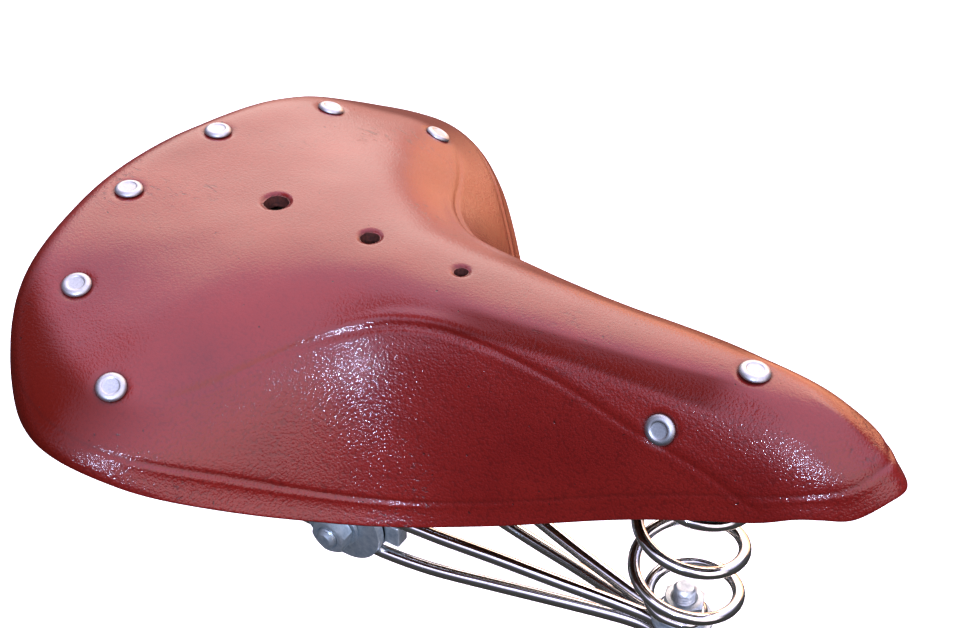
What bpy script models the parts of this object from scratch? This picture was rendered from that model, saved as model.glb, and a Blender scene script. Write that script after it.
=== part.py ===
"""A sprung leather bicycle saddle on three coil springs, with hairpin rails and a seat-post clip.

Metres, +X forward to the nose, +Y left, +Z up. The origin is on the seat-post axis at the lower
rim of the clip band.
"""

import math

import bmesh
import bpy
from mathutils import Matrix, Vector

MM = 0.001
GAP = 0.3 * MM
WELD = 0.01 * MM

# Driving places
NOSE_RIVET = Vector((167.0, 0.0, 127.0)) * MM
REAR_SPRING_X = -39.0 * MM
REAR_SPRING_Y = 40.0 * MM
NOSE_SPRING_X = 153.0 * MM

# Leather
LEATHER_THICKNESS = 4.6 * MM
STEEL_SHEET = 2.0 * MM
PLATE_DEPTH = LEATHER_THICKNESS + 0.8 * MM
NOSE_DEPTH = PLATE_DEPTH + 0.5 * MM
RIB_STEPS = 2
RING_SHARES = (0.0, 0.17, 0.34, 0.48, 0.58, 0.67, 0.75, 0.82, 0.88, 0.94, 1.0)
VENTS = ((-175.9, 4.4), (-137.0, 3.3), (-101.4, 2.4))

# Fasteners
THREAD_RADIUS = 3.9 * MM
THREAD_HOLE = THREAD_RADIUS + GAP
NUT_RADIUS = 13.0 / math.sqrt(3.0) * MM
NUT_HEIGHT = 6.2 * MM
THIN_NUT_HEIGHT = 4.4 * MM
HEAD_HEIGHT = 5.0 * MM
RIVET_HEAD_RADIUS = 4.8 * MM
RIVET_HEAD_HEIGHT = 1.8 * MM
RIVET_SHANK_RADIUS = 1.9 * MM
RIVET_SIDES = 12

# Wires and springs
RAIL_RADIUS = 2.4 * MM
NOSE_WIRE_RADIUS = 2.1 * MM
REAR_WIRE_RADIUS = 2.3 * MM
NOSE_COIL_RADIUS = 17.65 * MM
REAR_COIL_RADIUS = 15.6 * MM
NOSE_PITCH = 20.9 * MM
REAR_PITCH = 15.5 * MM
RAIL_EYE_RADIUS = THREAD_RADIUS + GAP + RAIL_RADIUS
POINTS_PER_TURN = 12

# Seat-post clip, with the clamp bolt ahead of the post
POST_RADIUS = 11.1 * MM
BAND_INNER = POST_RADIUS + 0.1 * MM
BAND_SHEET = 2.8 * MM
BAND_OUTER = BAND_INNER + BAND_SHEET
BAND_HEIGHT = 30.0 * MM
BOLT_X = 29.0 * MM
BOLT_Z = BAND_HEIGHT / 2
EAR_INNER = 6.5 * MM
EAR_OUTER = EAR_INNER + BAND_SHEET
CHEEK_RADIUS = 14.5 * MM
RAIL_Y = 21.2 * MM
RAIL_SPREAD = 9.0 * MM
CHEEK_SPLIT = 0.5 * MM
OUTER_CHEEK_FACE = RAIL_Y + 4.0 * MM
GUIDE_REACH = 22.0 * MM
WASHER_SHEET = 1.4 * MM
BOLT_END = 35.5 * MM

# Heights of the stack on the nose spring's lower bolt
NOSE_EYE_LOWER_Z = 6.4 * MM
NOSE_EYE_UPPER_Z = NOSE_EYE_LOWER_Z + 2 * RAIL_RADIUS + GAP
NOSE_WASHER_Z = NOSE_EYE_UPPER_Z + RAIL_RADIUS + GAP
NOSE_SPRING_FOOT = NOSE_WASHER_Z + WASHER_SHEET + GAP + NOSE_WIRE_RADIUS
NOSE_SPRING_TOP = 81.5 * MM

# Heights of the stack on the rear springs' bolts
REAR_EYE_LOWER_Z = 26.5 * MM
BRIDGE_Z = REAR_EYE_LOWER_Z + RAIL_RADIUS + GAP
BRIDGE_SHEET = 3.0 * MM
BRIDGE_HALF_WIDTH = 9.0 * MM
REAR_EYE_UPPER_Z = BRIDGE_Z + BRIDGE_SHEET + GAP + RAIL_RADIUS
REAR_SPRING_FOOT = REAR_EYE_UPPER_Z + RAIL_RADIUS + GAP + REAR_WIRE_RADIUS
REAR_SPRING_TOP = 97.0 * MM
CANTLE_BRIDGE_Z = REAR_SPRING_TOP + REAR_WIRE_RADIUS + GAP

# Nose fittings
BRACKET_SHEET = 2.6 * MM
BRACKET_INNER = 8.0 * MM
BRACKET_Z = NOSE_SPRING_TOP + NOSE_WIRE_RADIUS + GAP
PIN_Z = 100.5 * MM
PIN_RADIUS = 3.0 * MM
TENSION_Z = 110.0 * MM
TENSION_START = 141.0 * MM
TENSION_END = 188.5 * MM

# Ribs of the leather top from the middle of the rear round to the nose, in mm from the top nose
# rivet. Each rib is (spine x, spine z), (shoulder share, z), (wall share, z), (edge x, y, z); the
# shares are of the way from the spine to the edge.
RIBS = (
    ((-170, -1.0), (0.97, 3.5), (1.00, -7), (-239, 0, -27)),
    ((-169, -1.0), (0.97, 2.5), (1.00, -8), (-233.5, 41, -27)),
    ((-167.5, -1.0), (0.97, -3.0), (1.00, -12), (-222.5, 76, -27)),
    ((-165, -1.0), (0.95, -13.5), (1.00, -19), (-204, 100, -27.5)),
    ((-161, -1.0), (0.91, -20.0), (1.00, -25), (-180, 113, -29.5)),
    ((-155, -1.1), (0.86, -26.0), (1.00, -32), (-156, 107, -37)),
    ((-146, -1.3), (0.77, -27.0), (0.95, -40), (-137, 91.5, -46.5)),
    ((-131, -1.6), (0.63, -19.0), (0.88, -46), (-118, 71, -60)),
    ((-110, -1.9), (0.55, -12.0), (0.80, -42), (-100, 55, -68)),
    ((-83, -2.0), (0.56, -9.0), (0.80, -38), (-78, 42.5, -68)),
    ((-54, -1.6), (0.60, -8.0), (0.84, -32), (-50, 34, -59)),
    ((-26, -0.7), (0.65, -8.0), (0.88, -25), (-22, 29.5, -46.5)),
    ((-8, 0.0), (0.70, -9.5), (0.92, -22), (4, 25.8, -37)),
    ((0, -0.3), (0.75, -11.0), (0.94, -19), (27, 21, -30.5)),
    ((5, -0.8), (0.78, -12.5), (0.95, -17.5), (40, 13.5, -26)),
    ((7.5, -1.1), (0.78, -13.5), (0.96, -17), (46.5, 6, -22)),
    ((8.5, -1.2), (0.78, -14.0), (0.96, -16.5), (49, 0, -21)),
)
REAR_RIVETS = ((-220.6, 23.4), (-203.4, 67.8), (-170.0, 90.3))
NOSE_SIDE_RIVET = (-18.7, 21.6)


# ---------------------------------------------------------------- scene and materials

def clear_scene():
    for thing in list(bpy.data.objects):
        bpy.data.objects.remove(thing, do_unlink=True)


def new_collection(name):
    collection = bpy.data.collections.new(name)
    bpy.context.scene.collection.children.link(collection)
    return collection


def new_material(name, color, roughness, metallic):
    material = bpy.data.materials.new(name)
    material.use_nodes = True
    shader = material.node_tree.nodes["Principled BSDF"]
    shader.inputs["Base Color"].default_value = (*color, 1.0)
    shader.inputs["Roughness"].default_value = roughness
    shader.inputs["Metallic"].default_value = metallic
    return material


clear_scene()
PARTS = new_collection("bicycle_saddle")
CUTTERS = new_collection("cutters")
FINISHES = {
    "leather": ((0.36, 0.045, 0.035), 0.35, 0.0),
    "chrome": ((0.80, 0.80, 0.82), 0.12, 1.0),
    "zinc": ((0.42, 0.50, 0.56), 0.35, 1.0),
    "sheet": ((0.10, 0.10, 0.11), 0.50, 0.6),
    "rivet": ((0.78, 0.77, 0.74), 0.28, 1.0),
}


def add_part(name, mesh, finish):
    mesh.name = name
    part = bpy.data.objects.new(name, mesh)
    PARTS.objects.link(part)
    color, roughness, metallic = FINISHES[finish]
    mesh.materials.clear()
    mesh.materials.append(new_material(name + "_" + finish, color, roughness, metallic))
    return part


def shade_round(part, angle=40.0):
    part.data.shade_smooth()
    part.data.set_sharp_from_angle(angle=math.radians(angle))


# ---------------------------------------------------------------- mesh tools

def mesh_from(bm, name="shape"):
    bmesh.ops.recalc_face_normals(bm, faces=bm.faces)
    mesh = bpy.data.meshes.new(name)
    bm.to_mesh(mesh)
    bm.free()
    return mesh


def cylinder_mesh(radius, start, end, sides=16):
    """A cylinder from one point to another."""
    start = Vector(start)
    run = Vector(end) - start
    bm = bmesh.new()
    bmesh.ops.create_cone(
        bm,
        cap_ends=True,
        segments=sides,
        radius1=radius,
        radius2=radius,
        depth=run.length,
    )
    turn = run.to_track_quat("Z", "Y").to_matrix().to_4x4()
    place = Matrix.Translation(start + run / 2) @ turn
    bmesh.ops.transform(bm, matrix=place, verts=bm.verts)
    return mesh_from(bm)


def box_mesh(low, high):
    low = Vector(low)
    high = Vector(high)
    bm = bmesh.new()
    bmesh.ops.create_cube(bm, size=1.0)
    size = high - low
    place = Matrix.Translation((low + high) / 2) @ Matrix.Diagonal((*size, 1.0))
    bmesh.ops.transform(bm, matrix=place, verts=bm.verts)
    return mesh_from(bm)


def combine(part, mesh, operation):
    """Applies one Boolean with a cutter mesh to the part."""
    cutter = bpy.data.objects.new("cutter", mesh)
    cutter.hide_render = True
    cutter.display_type = "WIRE"
    CUTTERS.objects.link(cutter)
    modifier = part.modifiers.new("combine", "BOOLEAN")
    modifier.operation = operation
    modifier.object = cutter
    modifier.solver = "EXACT"
    modifier.use_self = operation == "UNION"
    apply_modifiers(part)
    bpy.data.objects.remove(cutter, do_unlink=True)
    weld(part)


def weld(part):
    """Closes the hairline slivers that a cut can leave."""
    bm = bmesh.new()
    bm.from_mesh(part.data)
    bmesh.ops.remove_doubles(bm, verts=bm.verts, dist=WELD)
    bmesh.ops.dissolve_degenerate(bm, edges=bm.edges, dist=WELD)
    bm.to_mesh(part.data)
    bm.free()


def apply_modifiers(part):
    bpy.context.view_layer.update()
    graph = bpy.context.evaluated_depsgraph_get()
    mesh = bpy.data.meshes.new_from_object(part.evaluated_get(graph))
    part.modifiers.clear()
    old = part.data
    materials = list(old.materials)
    part.data = mesh
    mesh.materials.clear()
    for material in materials:
        mesh.materials.append(material)
    bpy.data.meshes.remove(old)
    mesh.name = part.name


def cut(part, mesh):
    combine(part, mesh, "DIFFERENCE")


def join(part, mesh):
    combine(part, mesh, "UNION")


def bevel(part, width):
    modifier = part.modifiers.new("round", "BEVEL")
    modifier.width = width
    modifier.segments = 1
    modifier.limit_method = "ANGLE"
    modifier.angle_limit = math.radians(50.0)
    apply_modifiers(part)


def wire(name, points, radius, finish):
    """A round wire through the points, with flat closed ends."""
    curve = bpy.data.curves.new(name, "CURVE")
    curve.dimensions = "3D"
    curve.bevel_depth = radius
    curve.bevel_resolution = 2
    curve.use_fill_caps = True
    spline = curve.splines.new("POLY")
    spline.points.add(len(points) - 1)
    for slot, point in zip(spline.points, points):
        slot.co = (*point, 1.0)
    part = bpy.data.objects.new(name, curve)
    PARTS.objects.link(part)
    color, roughness, metallic = FINISHES[finish]
    curve.materials.append(new_material(name + "_" + finish, color, roughness, metallic))
    return part


def extruded(name, outline, place, thickness, finish):
    """A flat outline, filled and extruded evenly about its own plane."""
    curve = bpy.data.curves.new(name, "CURVE")
    curve.dimensions = "2D"
    curve.fill_mode = "BOTH"
    curve.extrude = thickness / 2
    spline = curve.splines.new("POLY")
    spline.points.add(len(outline) - 1)
    for slot, (x, y) in zip(spline.points, outline):
        slot.co = (x, y, 0.0, 1.0)
    spline.use_cyclic_u = True
    drawn = bpy.data.objects.new(name + "_outline", curve)
    PARTS.objects.link(drawn)
    bpy.context.view_layer.update()
    graph = bpy.context.evaluated_depsgraph_get()
    mesh = bpy.data.meshes.new_from_object(drawn.evaluated_get(graph))
    bm = bmesh.new()
    bm.from_mesh(mesh)
    bmesh.ops.remove_doubles(bm, verts=bm.verts, dist=1e-6)
    bmesh.ops.transform(bm, matrix=place, verts=bm.verts)
    solid = mesh_from(bm)
    bpy.data.objects.remove(drawn, do_unlink=True)
    return add_part(name, solid, finish)


def arc(center, radius, start, end, steps):
    """Points on an arc; angles in degrees."""
    points = []
    for step in range(steps + 1):
        angle = math.radians(start + (end - start) * step / steps)
        points.append((center[0] + radius * math.cos(angle), center[1] + radius * math.sin(angle)))
    return points


def ease(share):
    share = min(max(share, 0.0), 1.0)
    return share * share * (3.0 - 2.0 * share)


# ---------------------------------------------------------------- the leather's shape

def uniform_weights(share):
    """Uniform cubic B-spline weights."""
    return (
        (1 - share) ** 3 / 6,
        (3 * share ** 3 - 6 * share ** 2 + 4) / 6,
        (-3 * share ** 3 + 3 * share ** 2 + 3 * share + 1) / 6,
        share ** 3 / 6,
    )


def rib_net(rib):
    """The six control points of a rib, from the spine to the edge, in metres."""
    (spine_x, spine_z), (shoulder, shoulder_z), (wall, wall_z), (edge_x, edge_y, edge_z) = rib
    drop = shoulder_z - spine_z
    shares = (
        (0.0, spine_z),
        (0.34 * shoulder, spine_z),
        (0.70 * shoulder, spine_z + 0.40 * drop),
        (shoulder, shoulder_z),
        (wall, wall_z),
        (1.0, edge_z),
    )
    net = []
    for share, z in shares:
        x = spine_x + (edge_x - spine_x) * share
        net.append(NOSE_RIVET + Vector((x, edge_y * share, z)) * MM)
    return net


def mirrored(net):
    return [Vector((point.x, -point.y, point.z)) for point in net]


def closed_spline_controls(points):
    """Control points of the closed cubic B-spline that passes through the points."""
    controls = [point.copy() for point in points]
    count = len(points)
    for _ in range(60):
        for index in range(count):
            around = controls[index - 1] + controls[(index + 1) % count]
            controls[index] = (6.0 * points[index] - around) / 4.0
    return controls


def open_spline(points, share):
    """A point on the clamped cubic B-spline with these control points (De Boor)."""
    spans = len(points) - 3
    knots = [0.0] * 3 + [step / spans for step in range(spans + 1)] + [1.0] * 3
    share = min(max(share, 0.0), 1.0)
    span = min(3 + int(share * spans), len(points) - 1)
    local = [points[span - 3 + index].copy() for index in range(4)]
    for level in range(1, 4):
        for index in range(3, level - 1, -1):
            low = knots[span - 3 + index]
            high = knots[span + 1 + index - level]
            weight = (share - low) / (high - low)
            local[index] = local[index - 1].lerp(local[index], weight)
    return local[3]


class Top:
    """The outer face of the leather, by rib number and share of the way from spine to edge."""

    def __init__(self, ribs):
        nets = [rib_net(rib) for rib in ribs]
        nets += [mirrored(net) for net in reversed(nets[1:-1])]
        self.count = len(nets)
        rows = list(zip(*nets))
        self.rows = [closed_spline_controls(row) for row in rows]

    def point(self, rib, share):
        rib %= self.count
        first = int(rib)
        weights = uniform_weights(rib - first)
        net = []
        for row in self.rows:
            total = Vector()
            for offset, weight in enumerate(weights):
                total += row[(first + offset - 1) % self.count] * weight
            net.append(total)
        return open_spline(net, share)

    def normal(self, rib, share):
        step = 0.01
        along = self.point(rib + step, share) - self.point(rib - step, share)
        down = self.point(rib, min(share + step, 1.0)) - self.point(rib, max(share - step, 0.0))
        out = along.cross(down)
        if share == 0.0:
            out = Vector((0.0, 0.0, 1.0))
        return out.normalized()

    def locate(self, x, y):
        """The rib and share of the surface point over a place given in mm from the nose rivet."""
        goal = NOSE_RIVET + Vector((x, y, 0.0)) * MM
        side = range(1, 16) if y > 0 else range(self.count - 15, self.count)
        best = (1.0, 0.0, 0.0)
        if y == 0:
            side = (0, 16)
        for rib in side:
            for step in range(2, 14):
                best = min(best, self.miss(goal, rib, step / 20))
        size = 0.5
        while size > 0.001:
            _, rib, share = best
            for shift in ((size, 0), (-size, 0), (0, size / 10), (0, -size / 10)):
                best = min(best, self.miss(goal, rib + shift[0], share + shift[1]))
            if best[1:] == (rib, share):
                size /= 2
        return best[1:]

    def miss(self, goal, rib, share):
        place = self.point(rib, share)
        return (math.hypot(place.x - goal.x, place.y - goal.y), rib, share)


TOP = Top(RIBS)
RIB_COUNT = TOP.count
NOSE_RIB = RIB_COUNT // 2


def full_reach(rib):
    return 1.0


def skin_patch(ribs, shares, depth, reach=full_reach):
    """An open patch of the leather's shape, moved inwards by depth.

    reach scales the shares of each rib, so that the patch can end early on some.
    """
    closed = len(ribs) == RIB_COUNT * RIB_STEPS
    bm = bmesh.new()
    rows = []
    for rib in ribs:
        row = []
        for part_way in shares:
            share = part_way * reach(rib)
            place = TOP.point(rib, share)
            if depth > 0.0:
                place = place - TOP.normal(rib, share) * depth
            row.append(bm.verts.new(place))
        rows.append(row)
    last = len(rows) if closed else len(rows) - 1
    for index in range(last):
        here = rows[index]
        there = rows[(index + 1) % len(rows)]
        for step in range(len(shares) - 1):
            bm.faces.new((here[step], here[step + 1], there[step + 1], there[step]))
    bmesh.ops.remove_doubles(bm, verts=bm.verts, dist=1e-5)
    bmesh.ops.dissolve_degenerate(bm, edges=bm.edges, dist=1e-5)
    bmesh.ops.triangulate(bm, faces=[face for face in bm.faces if len(face.verts) > 4])
    return bm


def shell(name, bm, thickness, finish, point_up):
    """Thickens an open patch inwards, away from the side that point_up lies on."""
    bmesh.ops.recalc_face_normals(bm, faces=bm.faces)
    mesh = bpy.data.meshes.new(name)
    nearest = min(bm.faces, key=lambda face: (face.calc_center_median() - point_up).length)
    nearest.normal_update()
    if nearest.normal.dot(point_up - nearest.calc_center_median()) < 0.0:
        bmesh.ops.reverse_faces(bm, faces=bm.faces)
    bm.to_mesh(mesh)
    bm.free()
    part = add_part(name, mesh, finish)
    modifier = part.modifiers.new("thickness", "SOLIDIFY")
    modifier.thickness = thickness
    modifier.offset = -1.0
    apply_modifiers(part)
    return part


def solid_revolve(profile, steps):
    """A turned solid about Z; the profile runs down the outer side from the axis to the axis."""
    mesh = bpy.data.meshes.new("profile")
    edges = [(index, index + 1) for index in range(len(profile) - 1)]
    mesh.from_pydata([(radius, 0.0, z) for radius, z in profile], edges, [])
    turned = bpy.data.objects.new("turned", mesh)
    PARTS.objects.link(turned)
    screw = turned.modifiers.new("turn", "SCREW")
    screw.steps = steps
    screw.render_steps = steps
    screw.use_merge_vertices = True
    screw.merge_threshold = 1e-6
    apply_modifiers(turned)
    solid = turned.data
    bpy.data.objects.remove(turned, do_unlink=True)
    return solid


def placed(mesh, place):
    mesh.transform(place)
    return mesh


def facing(point, direction):
    """A frame at the point whose Z runs along the direction."""
    turn = Vector(direction).to_track_quat("Z", "Y").to_matrix().to_4x4()
    return Matrix.Translation(Vector(point)) @ turn


# ---------------------------------------------------------------- leather, plates and rivets

def rivet_places():
    """Name, surface point and outward direction of each rivet."""
    places = []
    right = [(x, -y) for x, y in REAR_RIVETS]
    for number, (x, y) in enumerate(list(reversed(REAR_RIVETS)) + right, start=1):
        places.append(("rear_rivet_%d" % number, x, y))
    side_x, side_y = NOSE_SIDE_RIVET
    places.append(("nose_rivet_top", 0.0, 0.0))
    places.append(("nose_rivet_left", side_x, side_y))
    places.append(("nose_rivet_right", side_x, -side_y))
    found = []
    for name, x, y in places:
        if name == "nose_rivet_top":
            found.append((name, NOSE_RIVET.copy(), Vector((0.0, 0.0, 1.0))))
            continue
        rib, share = TOP.locate(x, y)
        found.append((name, TOP.point(rib, share), TOP.normal(rib, share)))
    return found


RIVET_GRIP = PLATE_DEPTH + STEEL_SHEET
HEAD_SEAT = 0.5 * MM
TAIL_RADIUS = 3.3 * MM
TAIL_HEIGHT = 1.2 * MM


def rivet(name, point, direction):
    """A domed, dished head over a shank that is peened over inside the plate."""
    top = RIVET_HEAD_HEIGHT
    under = GAP - HEAD_SEAT
    foot = -RIVET_GRIP - 2 * GAP
    profile = (
        (0.0, 0.75 * top),
        (0.60 * RIVET_HEAD_RADIUS, top),
        (RIVET_HEAD_RADIUS, under + 0.3 * MM),
        (0.96 * RIVET_HEAD_RADIUS, under),
        (RIVET_SHANK_RADIUS, under),
        (RIVET_SHANK_RADIUS, foot),
        (TAIL_RADIUS, foot),
        (0.0, foot - TAIL_HEIGHT),
    )
    mesh = placed(solid_revolve(profile, RIVET_SIDES), facing(point, direction))
    part = add_part(name, mesh, "rivet")
    shade_round(part)


def rivet_cutter(point, direction):
    """The seat for the head, the hole for the shank and the seat for the peened tail."""
    seat = RIVET_HEAD_RADIUS + GAP
    hole = RIVET_SHANK_RADIUS + GAP
    tail = TAIL_RADIUS + GAP
    foot = -RIVET_GRIP - GAP
    profile = (
        (0.0, 5.0 * MM),
        (seat, 5.0 * MM),
        (seat, -HEAD_SEAT),
        (hole, -HEAD_SEAT),
        (hole, foot),
        (tail, foot),
        (tail, foot - 4.0 * MM),
        (0.0, foot - 4.0 * MM),
    )
    return placed(solid_revolve(profile, RIVET_SIDES), facing(point, direction))


def leather_cover(rivets):
    ribs = [index / RIB_STEPS for index in range(RIB_COUNT * RIB_STEPS)]
    above = NOSE_RIVET + Vector((-150.0, 0.0, 60.0)) * MM
    skin = skin_patch(ribs, RING_SHARES, 0.0)
    part = shell("leather_cover", skin, LEATHER_THICKNESS, "leather", above)
    for _, point, direction in rivets:
        cut(part, rivet_cutter(point, direction))
    for x, radius in VENTS:
        center = NOSE_RIVET + Vector((x, 0.0, -4.0)) * MM
        reach = Vector((0.0, 0.0, 15.0 * MM))
        cut(part, cylinder_mesh(radius * MM, center - reach, center + reach, 15))
    shade_round(part)


def steps_between(low, high, count):
    return [low + (high - low) * index / count for index in range(count + 1)]


def plate_under(name, ribs, shares, depth, reach=full_reach):
    above = NOSE_RIVET + Vector((-80.0, 0.0, 400.0)) * MM
    return shell(name, skin_patch(ribs, shares, depth, reach), STEEL_SHEET, "sheet", above)


def cantle_plate(rivets):
    ribs = steps_between(-5.4, 5.4, 22)
    part = plate_under("cantle_plate", ribs, steps_between(0.58, 0.92, 4), PLATE_DEPTH)
    for name, point, direction in rivets:
        if name.startswith("rear"):
            cut(part, rivet_cutter(point, direction))
    shade_round(part)


def under_skin(x, y, depth):
    """A point below the leather's outer face at a place given in metres."""
    rib, share = TOP.locate((x - NOSE_RIVET.x) / MM, y / MM)
    return TOP.point(rib, share) - TOP.normal(rib, share) * depth


BOSS_START = 181.0 * MM
BOSS_END = 192.0 * MM
BOSS_HALF_WIDTH = 6.0 * MM


def nose_reach(rib):
    """The dome reaches down the sides but stays open round the tip."""
    from_tip = abs(rib - NOSE_RIB)
    return 0.88 - 0.45 * ease(1.0 - from_tip / 4.0)


def boss_mesh():
    """A block whose top corners end inside the dome's sheet."""
    low = (BOSS_START, -BOSS_HALF_WIDTH, TENSION_Z - 7.0 * MM)
    high = (BOSS_END, BOSS_HALF_WIDTH, TENSION_Z)
    mesh = box_mesh(low, high)
    inside = NOSE_DEPTH + STEEL_SHEET / 2
    for corner in mesh.vertices:
        if corner.co.z > TENSION_Z - MM:
            corner.co.z = under_skin(corner.co.x, corner.co.y, inside).z
    return mesh


def nose_piece(rivets):
    """The dome inside the nose, with a boss that the tension bolt pushes on."""
    ribs = steps_between(NOSE_RIB - 5.3, NOSE_RIB + 5.3, 18)
    part = plate_under("nose_piece", ribs, steps_between(0.0, 1.0, 6), NOSE_DEPTH, nose_reach)
    for name, point, direction in rivets:
        if name.startswith("nose"):
            cut(part, rivet_cutter(point, direction))
    join(part, boss_mesh())
    start = Vector((BOSS_START - 1.0 * MM, 0.0, TENSION_Z))
    end = Vector((TENSION_END + GAP, 0.0, TENSION_Z))
    cut(part, cylinder_mesh(THREAD_HOLE, start, end))
    shade_round(part)


def cantle_bridge():
    """A strip across the rear whose ends turn up to the cantle plate."""
    start_x = REAR_SPRING_X - BRIDGE_HALF_WIDTH
    end_x = REAR_SPRING_X + BRIDGE_HALF_WIDTH
    top = CANTLE_BRIDGE_Z + BRIDGE_SHEET
    below = PLATE_DEPTH + STEEL_SHEET + 2 * GAP
    end_y = REAR_SPRING_Y + 19.5 * MM
    end_z = min(under_skin(x, end_y, below).z for x in (start_x, end_x))
    bend_y = REAR_SPRING_Y + 12.0 * MM
    half = (
        (bend_y, top),
        (bend_y + 2.5 * MM, top + 1.0 * MM),
        (end_y, end_z),
    )
    line = [(-y, z) for y, z in reversed(half)] + list(half)
    bm = bmesh.new()
    rows = [[bm.verts.new((x, y, z)) for y, z in line] for x in (start_x, end_x)]
    for index in range(len(line) - 1):
        bm.faces.new((rows[0][index], rows[1][index], rows[1][index + 1], rows[0][index + 1]))
    above = Vector((REAR_SPRING_X, 0.0, 1.0))
    part = shell("cantle_bridge", bm, BRIDGE_SHEET, "sheet", above)
    for side in (1, -1):
        cut(part, bolt_hole(REAR_SPRING_X, side * REAR_SPRING_Y, CANTLE_BRIDGE_Z))


# ---------------------------------------------------------------- bolts and nuts

def bolt_hole(x, y, z):
    reach = Vector((0.0, 0.0, 12.0 * MM))
    place = Vector((x, y, z))
    return cylinder_mesh(THREAD_HOLE, place - reach, place + reach)


def hexagon(start, end):
    return cylinder_mesh(NUT_RADIUS, start, end, 6)


def bolt(name, head_start, direction, length):
    """A hexagon bolt: the head runs back from head_start and the shank runs along direction."""
    head_start = Vector(head_start)
    direction = Vector(direction)
    part = add_part(name, hexagon(head_start - direction * HEAD_HEIGHT, head_start), "zinc")
    inside = head_start - direction * MM
    join(part, cylinder_mesh(THREAD_RADIUS, inside, head_start + direction * length, 12))


def nut(name, start, end):
    start = Vector(start)
    end = Vector(end)
    part = add_part(name, hexagon(start, end), "zinc")
    over = (end - start).normalized() * MM
    cut(part, cylinder_mesh(THREAD_HOLE, start - over, end + over, 12))


def washer(name, start, end, radius):
    start = Vector(start)
    end = Vector(end)
    part = add_part(name, cylinder_mesh(radius, start, end), "zinc")
    over = (end - start).normalized() * MM
    cut(part, cylinder_mesh(THREAD_HOLE, start - over, end + over, 12))


# ---------------------------------------------------------------- wires and springs

def rear_eye_side(low_z, high_z):
    """One leg from the end of its rear eye to where the straight run through the clamp starts."""
    points = []
    center = (REAR_SPRING_X, REAR_SPRING_Y)
    for x, y in arc(center, RAIL_EYE_RADIUS, 0.0, 270.0, 15):
        points.append(Vector((x, y, high_z)))
    leg_y = REAR_SPRING_Y - RAIL_EYE_RADIUS
    start_x = REAR_SPRING_X + 6.0 * MM
    end_x = -4.0 * MM
    for step in range(9):
        share = step / 8
        x = start_x + (end_x - start_x) * share
        y = leg_y + (RAIL_Y - leg_y) * ease(share)
        rise = ease((share * (end_x - start_x) - 3.0 * MM) / (end_x - start_x - 3.0 * MM))
        points.append(Vector((x, y, high_z + (low_z - high_z) * rise)))
    return points


def hairpin(name, clamp_z, rear_z, front):
    """A wire from the left rear eye through the clamp, round the nose bolt and back."""
    left = rear_eye_side(clamp_z, rear_z)
    left.append(Vector((45.0 * MM, RAIL_Y, clamp_z)))
    left += [Vector(point) * MM for point in front]
    nose_z = left[-1].z
    nose = arc((NOSE_SPRING_X, 0.0), RAIL_EYE_RADIUS, 140.0, -140.0, 14)
    right = [Vector((point.x, -point.y, point.z)) for point in reversed(left)]
    points = left + [Vector((x, y, nose_z)) for x, y in nose] + right
    wire(name, points, RAIL_RADIUS, "chrome")


def rails():
    upper_z = NOSE_EYE_UPPER_Z / MM
    lower_z = NOSE_EYE_LOWER_Z / MM
    upper = (
        (56.0, 19.4, 22.9),
        (67.0, 17.0, 20.9),
        (87.0, 12.6, 18.0),
        (107.0, 8.5, 15.0),
        (127.0, 4.6, 12.6),
        (137.0, 3.0, upper_z),
        (143.5, 2.9, upper_z),
    )
    lower = (
        (56.0, 19.4, 5.0),
        (67.0, 17.2, 4.5),
        (87.0, 13.0, 5.0),
        (107.0, 9.0, 5.9),
        (127.0, 4.8, lower_z),
        (137.0, 3.0, lower_z),
        (143.5, 2.9, lower_z),
    )
    hairpin("rail_upper", BOLT_Z + RAIL_SPREAD, REAR_EYE_UPPER_Z, upper)
    hairpin("rail_lower", BOLT_Z - RAIL_SPREAD, REAR_EYE_LOWER_Z, lower)


def coil_spring(name, center, foot, top, coil_radius, wire_radius, pitch, start_angle):
    """A left-handed coil whose ends wind in to flat eyes round their bolts.

    start_angle is where the full coils start, in degrees.
    """
    eye = THREAD_RADIUS + GAP + wire_radius
    eye_turns = 0.80
    lead_turns = 0.45
    lead_rise = 0.6 * lead_turns * pitch
    coil_turns = (top - foot - 2 * lead_rise) / pitch
    total = 2 * eye_turns + 2 * lead_turns + coil_turns
    first = math.radians(start_angle) + 2 * math.pi * (eye_turns + lead_turns)
    count = round(total * POINTS_PER_TURN)
    points = []
    for index in range(count + 1):
        turn = total * index / count
        from_end = min(turn, total - turn)
        out = ease((from_end - eye_turns) / lead_turns)
        radius = eye + (coil_radius - eye) * out
        lead = min(max(from_end - eye_turns, 0.0), lead_turns) / lead_turns
        rise = lead_rise * lead * lead
        if from_end > eye_turns + lead_turns:
            rise = lead_rise + (from_end - eye_turns - lead_turns) * pitch
        z = foot + rise if turn < total / 2 else top - rise
        angle = first - 2 * math.pi * turn
        x = center[0] + radius * math.cos(angle)
        y = center[1] + radius * math.sin(angle)
        points.append(Vector((x, y, z)))
    wire(name, points, wire_radius, "chrome")


# ---------------------------------------------------------------- undercarriage

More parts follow.
